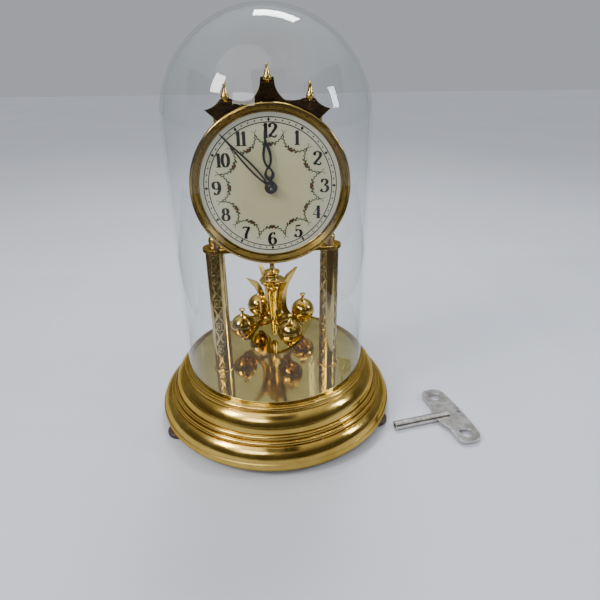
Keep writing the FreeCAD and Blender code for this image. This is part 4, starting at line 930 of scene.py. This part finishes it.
def build_stem():
    """The stem, which widens upwards in eight reeds to a round core."""
    low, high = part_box("pendulum_stem")
    core = (high.x - low.x) / 2 / MM
    bottom, waist, top = low.z / MM, 3.1, GALLERY_FLOOR
    reeds_start, reeds_end = 64.0, 95.5
    stem = [
        (0, bottom), (1.8, bottom + 0.2), (2.3, bottom + 0.9), (2.3, bottom + 1.8), (3.2, bottom + 2.2),
        (3.2, bottom + 3.4), (2.3, bottom + 3.9), (2.3, 61.0), (2.7, 62.5), (2.7, 63.5),
    ]
    for step in range(25):
        share = step / 24
        flare = waist + (core - waist) * (0.35 * share + 0.65 * share ** 2.2)
        stem.append((flare, reeds_start + (reeds_end - reeds_start) * share))
    stem += [(core, 96.2), (core - 0.5, top - 2), (3.2, top - 2), (3.2, top), (0, top)]

    def reeds(radius, height, turn):
        along = height / MM
        share = min(max((along - reeds_start) / 3, 0.0), max((reeds_end - along) / 1.5, 0.0), 1.0)
        return radius * (1 - share * 0.20 * (1 - abs(cos(4 * turn))) ** 0.8)

    shape = stood(lathe(section(stem), 128, reeds), PENDULUM_AXIS, 0)
    piece = add_piece("pendulum_stem_reeded", shape, "pendulum_stem", sharp=55)
    soften(piece, 0.15, 2)


def build_gallery():
    """The turned cup with a scalloped rim between the stem and the suspension."""
    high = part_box("pendulum_gallery")[1]
    top, rim = high.z / MM, high.x / MM
    bottom = GALLERY_FLOOR
    gallery = [
        (0, bottom), (8.6, bottom), (9.5, 99.4), (rim - 0.2, 101, 3.0), (rim, 101.8), (rim - 0.3, 102.6, 0.6),
        (rim - 1.6, 102.9), (rim - 3.2, 102.6), (6.4, 103.4), (5.6, 104.6, -2.0), (5.4, 106.4),
        (6.0, 108.6, -3.5), (6.6, 109.4, 0.8), (5.8, 110.1, 0.8), (3.4, 110.6), (2.2, 112.0, -2.6),
        (1.8, 116.0), (1.5, top), (0, top),
    ]

    def scallops(radius, height, turn):
        share = 1.0 if radius > (rim - 2.5) * MM else 0.0
        return radius - share * 0.45 * MM * (0.5 - 0.5 * cos(16 * turn))

    shape = stood(lathe(section(gallery), 160, scallops), PENDULUM_AXIS, 0)
    piece = add_piece("pendulum_gallery_turned", shape, "pendulum_gallery", sharp=50)
    soften(piece, 0.12, 2)


def build_balls():
    """The four polished balls, each with its knob above and its pin below."""
    low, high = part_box("pendulum_balls")
    ball, pin = 10.2, 2.6
    circle_reach, first_ball = 29.0 * MM, 25.5
    centre_height = low.z + (ball + pin) * MM
    knob_top = (high.z - centre_height) / MM
    outline = [(0, -ball - pin), (1.3, -ball - pin), (1.7, -ball - 2.2), (1.7, -ball + 0.2)]
    start, end = radians(-80), radians(74)
    for step in range(33):
        turn = start + (end - start) * step / 32
        outline.append((ball * cos(turn), ball * sin(turn)))
    outline += [
        (2.8, ball - 0.2), (2.6, ball + 0.3, 0.6), (1.5, ball + 1.2), (1.25, ball + 1.8), (1.2, ball + 3.0),
        (1.5, knob_top - 2.3), (2.3, knob_top - 1.5, -1.6), (2.4, knob_top - 0.9),
        (2.1, knob_top - 0.35, 0.7), (0, knob_top, 6.0),
    ]
    balls = []
    for quarter in range(4):
        turn = radians(first_ball + 90 * quarter)
        spot = PENDULUM_AXIS + Vector((cos(turn), sin(turn), 0)) * circle_reach
        balls.append(stood(lathe(section(outline), 96), spot, centre_height))
    add_piece("pendulum_balls_polished", joined(balls), "pendulum_balls", sharp=45)


def build_regulator():
    """The knurled regulating disc on the stem."""
    low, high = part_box("regulating_disc")
    reach, tall, bore = (high.x - low.x) / 2 / MM, (high.z - low.z) / MM, 3.25
    disc = [(bore, 0), (reach - 0.2, 0), (reach, 0.3), (reach, tall / 2), (reach, tall - 0.3),
            (reach - 0.2, tall), (bore, tall)]
    shape = lathe(section(disc), 192, ribbed(48, 0.25, 0.2, tall - 0.2))
    shape = stood(shape, PENDULUM_AXIS, low.z)
    add_piece("regulating_disc_knurled", shape, "regulating_disc")


# ---- stage

# Colours from the front of the room to its back, and from its walls up to its ceiling.
ROOM_WALLS = (
    (0.0, (0.11, 0.10, 0.088)), (0.5, (0.13, 0.12, 0.11)),
    (0.7, (0.26, 0.27, 0.29)), (1.0, (0.42, 0.43, 0.46)),
)
ROOM_CEILING = (
    (0.0, (0.0, 0.0, 0.0)), (0.45, (0.03, 0.03, 0.03)),
    (0.8, (0.55, 0.56, 0.58)), (1.0, (1.0, 1.0, 1.0)),
)
CARD_RISE = 0.003
CAMERA_PLACE = (-0.0072, -0.3506, 0.2633)
CAMERA_HEADING = (0.080, 0.9968, 0.0)
CAMERA_PITCH, CAMERA_ROLL = radians(25.73), radians(0.54)
CAMERA_LENS, CAMERA_SENSOR = 29.32, 36.0


def build_floor():
    """A wide pale table top at Z = 0."""
    shape = bmesh.new()
    bmesh.ops.create_grid(shape, x_segments=8, y_segments=8, size=5.0)
    mesh = as_mesh("floor", shape)
    mesh.materials.append(pale_floor())
    put("floor", mesh)


def build_room():
    """The room that lights the clock, dim in front and bright above; the camera sees plain grey instead."""
    shader = Shader("studio", world=True)
    parts = shader.add("ShaderNodeSeparateXYZ", {0: shader.place})
    walls = shader.ramp(shader.between(parts.outputs["Y"], -0.9, 0.9), *ROOM_WALLS)
    ceiling = shader.ramp(shader.between(parts.outputs["Z"], 0.15, 0.85), *ROOM_CEILING)
    light = shader.mix(1.0, walls, ceiling, "ADD")
    room = shader.add("ShaderNodeBackground", {"Color": light, "Strength": 0.82})
    grey = (0.52, 0.535, 0.575, 1.0)
    shown = shader.add("ShaderNodeBackground", {"Color": grey, "Strength": 0.75})
    seen = shader.add("ShaderNodeLightPath").outputs["Is Camera Ray"]
    bpy.context.scene.world = shader.blend(seen, room.outputs[0], shown.outputs[0])


def softbox(name, place, target, power, width, height, colour):
    """A rectangular lamp that faces a target."""
    lamp = bpy.data.lights.new(name, "AREA")
    lamp.shape = "RECTANGLE"
    lamp.size, lamp.size_y = width, height
    lamp.energy = power
    lamp.color = colour
    put(name, lamp, place, target)


def build_lamps():
    """Four soft lamps and a weak wide sun."""
    softbox("softbox_left", (-0.75, -0.45, 0.85), (0, 0, 0.12), 7.0, 0.20, 0.28, (1.0, 0.97, 0.93))
    softbox("softbox_right", (0.85, -0.25, 0.55), (0, 0, 0.12), 3.0, 0.12, 0.26, (0.90, 0.95, 1.0))
    softbox("softbox_top", (0.1, 0.45, 0.95), (0, 0, 0.1), 6.0, 0.34, 0.16, (0.97, 0.98, 1.0))
    softbox("softbox_front", (-0.40, -0.85, 0.70), (0, 0, 0.15), 2.0, 0.4, 0.2, (1.0, 0.98, 0.95))
    sun = bpy.data.lights.new("window_light", "SUN")
    sun.energy, sun.angle = 0.8, radians(50)
    put("window_light", sun).rotation_euler = (radians(28), radians(-24), 0.0)


def dark_card(name, paint, place, target, width, height):
    """A dark card that only shows in polished surfaces, as one held round a shiny subject in a studio."""
    across, along = width / 2, height / 2
    mesh = bpy.data.meshes.new(name)
    corners = [(-across, -along, 0.0), (across, -along, 0.0), (across, along, 0.0), (-across, along, 0.0)]
    mesh.from_pydata(corners, [], [(0, 1, 2, 3)])
    mesh.materials.append(paint)
    card = put(name, mesh, place, target)
    card.visible_camera = card.visible_diffuse = card.visible_shadow = card.visible_transmission = False


def build_cards():
    """One dark card above the camera, and three that lie on the table round the clock."""
    paint = card_brown()
    dark_card("card_over_camera", paint, (0.02, -0.50, 0.62), (0, 0, 0.06), 0.34, 0.34)
    for name, x, y, width, height in (
        ("card_in_front", 0.0, -0.50, 0.90, 0.58),
        ("card_at_left", -0.58, 0.05, 0.66, 0.52),
        ("card_at_right", 0.62, 0.05, 0.66, 0.52),
    ):
        dark_card(name, paint, (x, y, CARD_RISE), (x, y, 1.0), width, height)


def build_camera():
    """The camera at the photograph's place, looking down at the dial with a slight roll."""
    camera = put("camera", bpy.data.cameras.new("camera"))
    bpy.context.scene.camera = camera
    camera.data.lens, camera.data.sensor_width = CAMERA_LENS, CAMERA_SENSOR
    camera.data.clip_start = 0.02
    heading = Vector(CAMERA_HEADING).normalized()
    ahead = heading * cos(CAMERA_PITCH) - Vector((0, 0, sin(CAMERA_PITCH)))
    level = heading.cross(Vector((0, 0, 1)))
    down = ahead.cross(level)
    right = level * cos(CAMERA_ROLL) + down * sin(CAMERA_ROLL)
    turn = Matrix((right, right.cross(ahead), -ahead)).transposed().to_4x4()
    camera.matrix_world = Matrix.Translation(CAMERA_PLACE) @ turn


# ---- everything together

DIAL_CENTRE = middle_of("dial")
PENDULUM_AXIS = middle_of("pendulum_stem")
MATERIALS = {
    "polished_brass": spun_brass("polished_brass", (0.62, 0.43, 0.11), (0.42, 0.27, 0.055), 0.12, 0.5),
    "engraved_brass": engraved_brass(),
    "gilt_brass": spun_brass("gilt_brass", (0.68, 0.49, 0.15), (0.48, 0.32, 0.08), 0.05, 0.05),
    "dark_brass": dark_brass(),
    "plate_brass": brushed_brass("plate_brass"),
    "steel": turned_steel("steel", (0.60, 0.585, 0.555), (0.40, 0.385, 0.36), 0.20),
    "spring_steel": turned_steel("spring_steel", (0.38, 0.42, 0.50), (0.22, 0.25, 0.33), 0.24),
    "blackened_steel": black_paint("blackened_steel"),
    "dial_enamel": dial_enamel((DIAL_CENTRE.x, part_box("dial")[0].y, DIAL_CENTRE.z)),
    "dome_glass": dome_glass(),
    "brown_bakelite": brown_bakelite(),
    "weight_iron": weight_iron(),
    "nickel": nickel(),
}
DECK_BRASS = spun_brass("deck_brass", (0.66, 0.54, 0.18), (0.52, 0.41, 0.11), 0.03, 0.04)
BEZEL_BRASS = spun_brass(
    "bezel_brass", (0.46, 0.32, 0.10), (0.27, 0.17, 0.045), 0.07, 0.2, tuple(DIAL_CENTRE), (0.0, 1.0, 0.0)
)
INK_BLACK = printed_ink("ink_black", (0.004, 0.004, 0.005), (0.014, 0.013, 0.014))
INK_GREEN = printed_ink("ink_green", (0.022, 0.038, 0.014), (0.06, 0.085, 0.035))
INK_OCHRE = printed_ink("ink_ochre", (0.20, 0.045, 0.015), (0.32, 0.09, 0.03))
INK_RED = printed_ink("ink_red", (0.040, 0.007, 0.004), (0.085, 0.016, 0.009))

build_base()
build_feet()
build_dome()
build_column("column_left", radians(-98))
build_column("column_right", radians(-145))
build_column_trim()
softened_node("movement_platform", 0.45, 3)
for width, group in MOVEMENT_BEVELS.items():
    for node in group:
        softened_node(node, width)
build_dial()
build_bezel()
build_crown()
build_hands()
build_stem()
build_gallery()
softened_node("pendulum_arms", 0.55, 3)
build_balls()
build_regulator()
softened_node("winding_key", 0.35, 3)
build_floor()
build_room()
build_lamps()
build_cards()
build_camera()
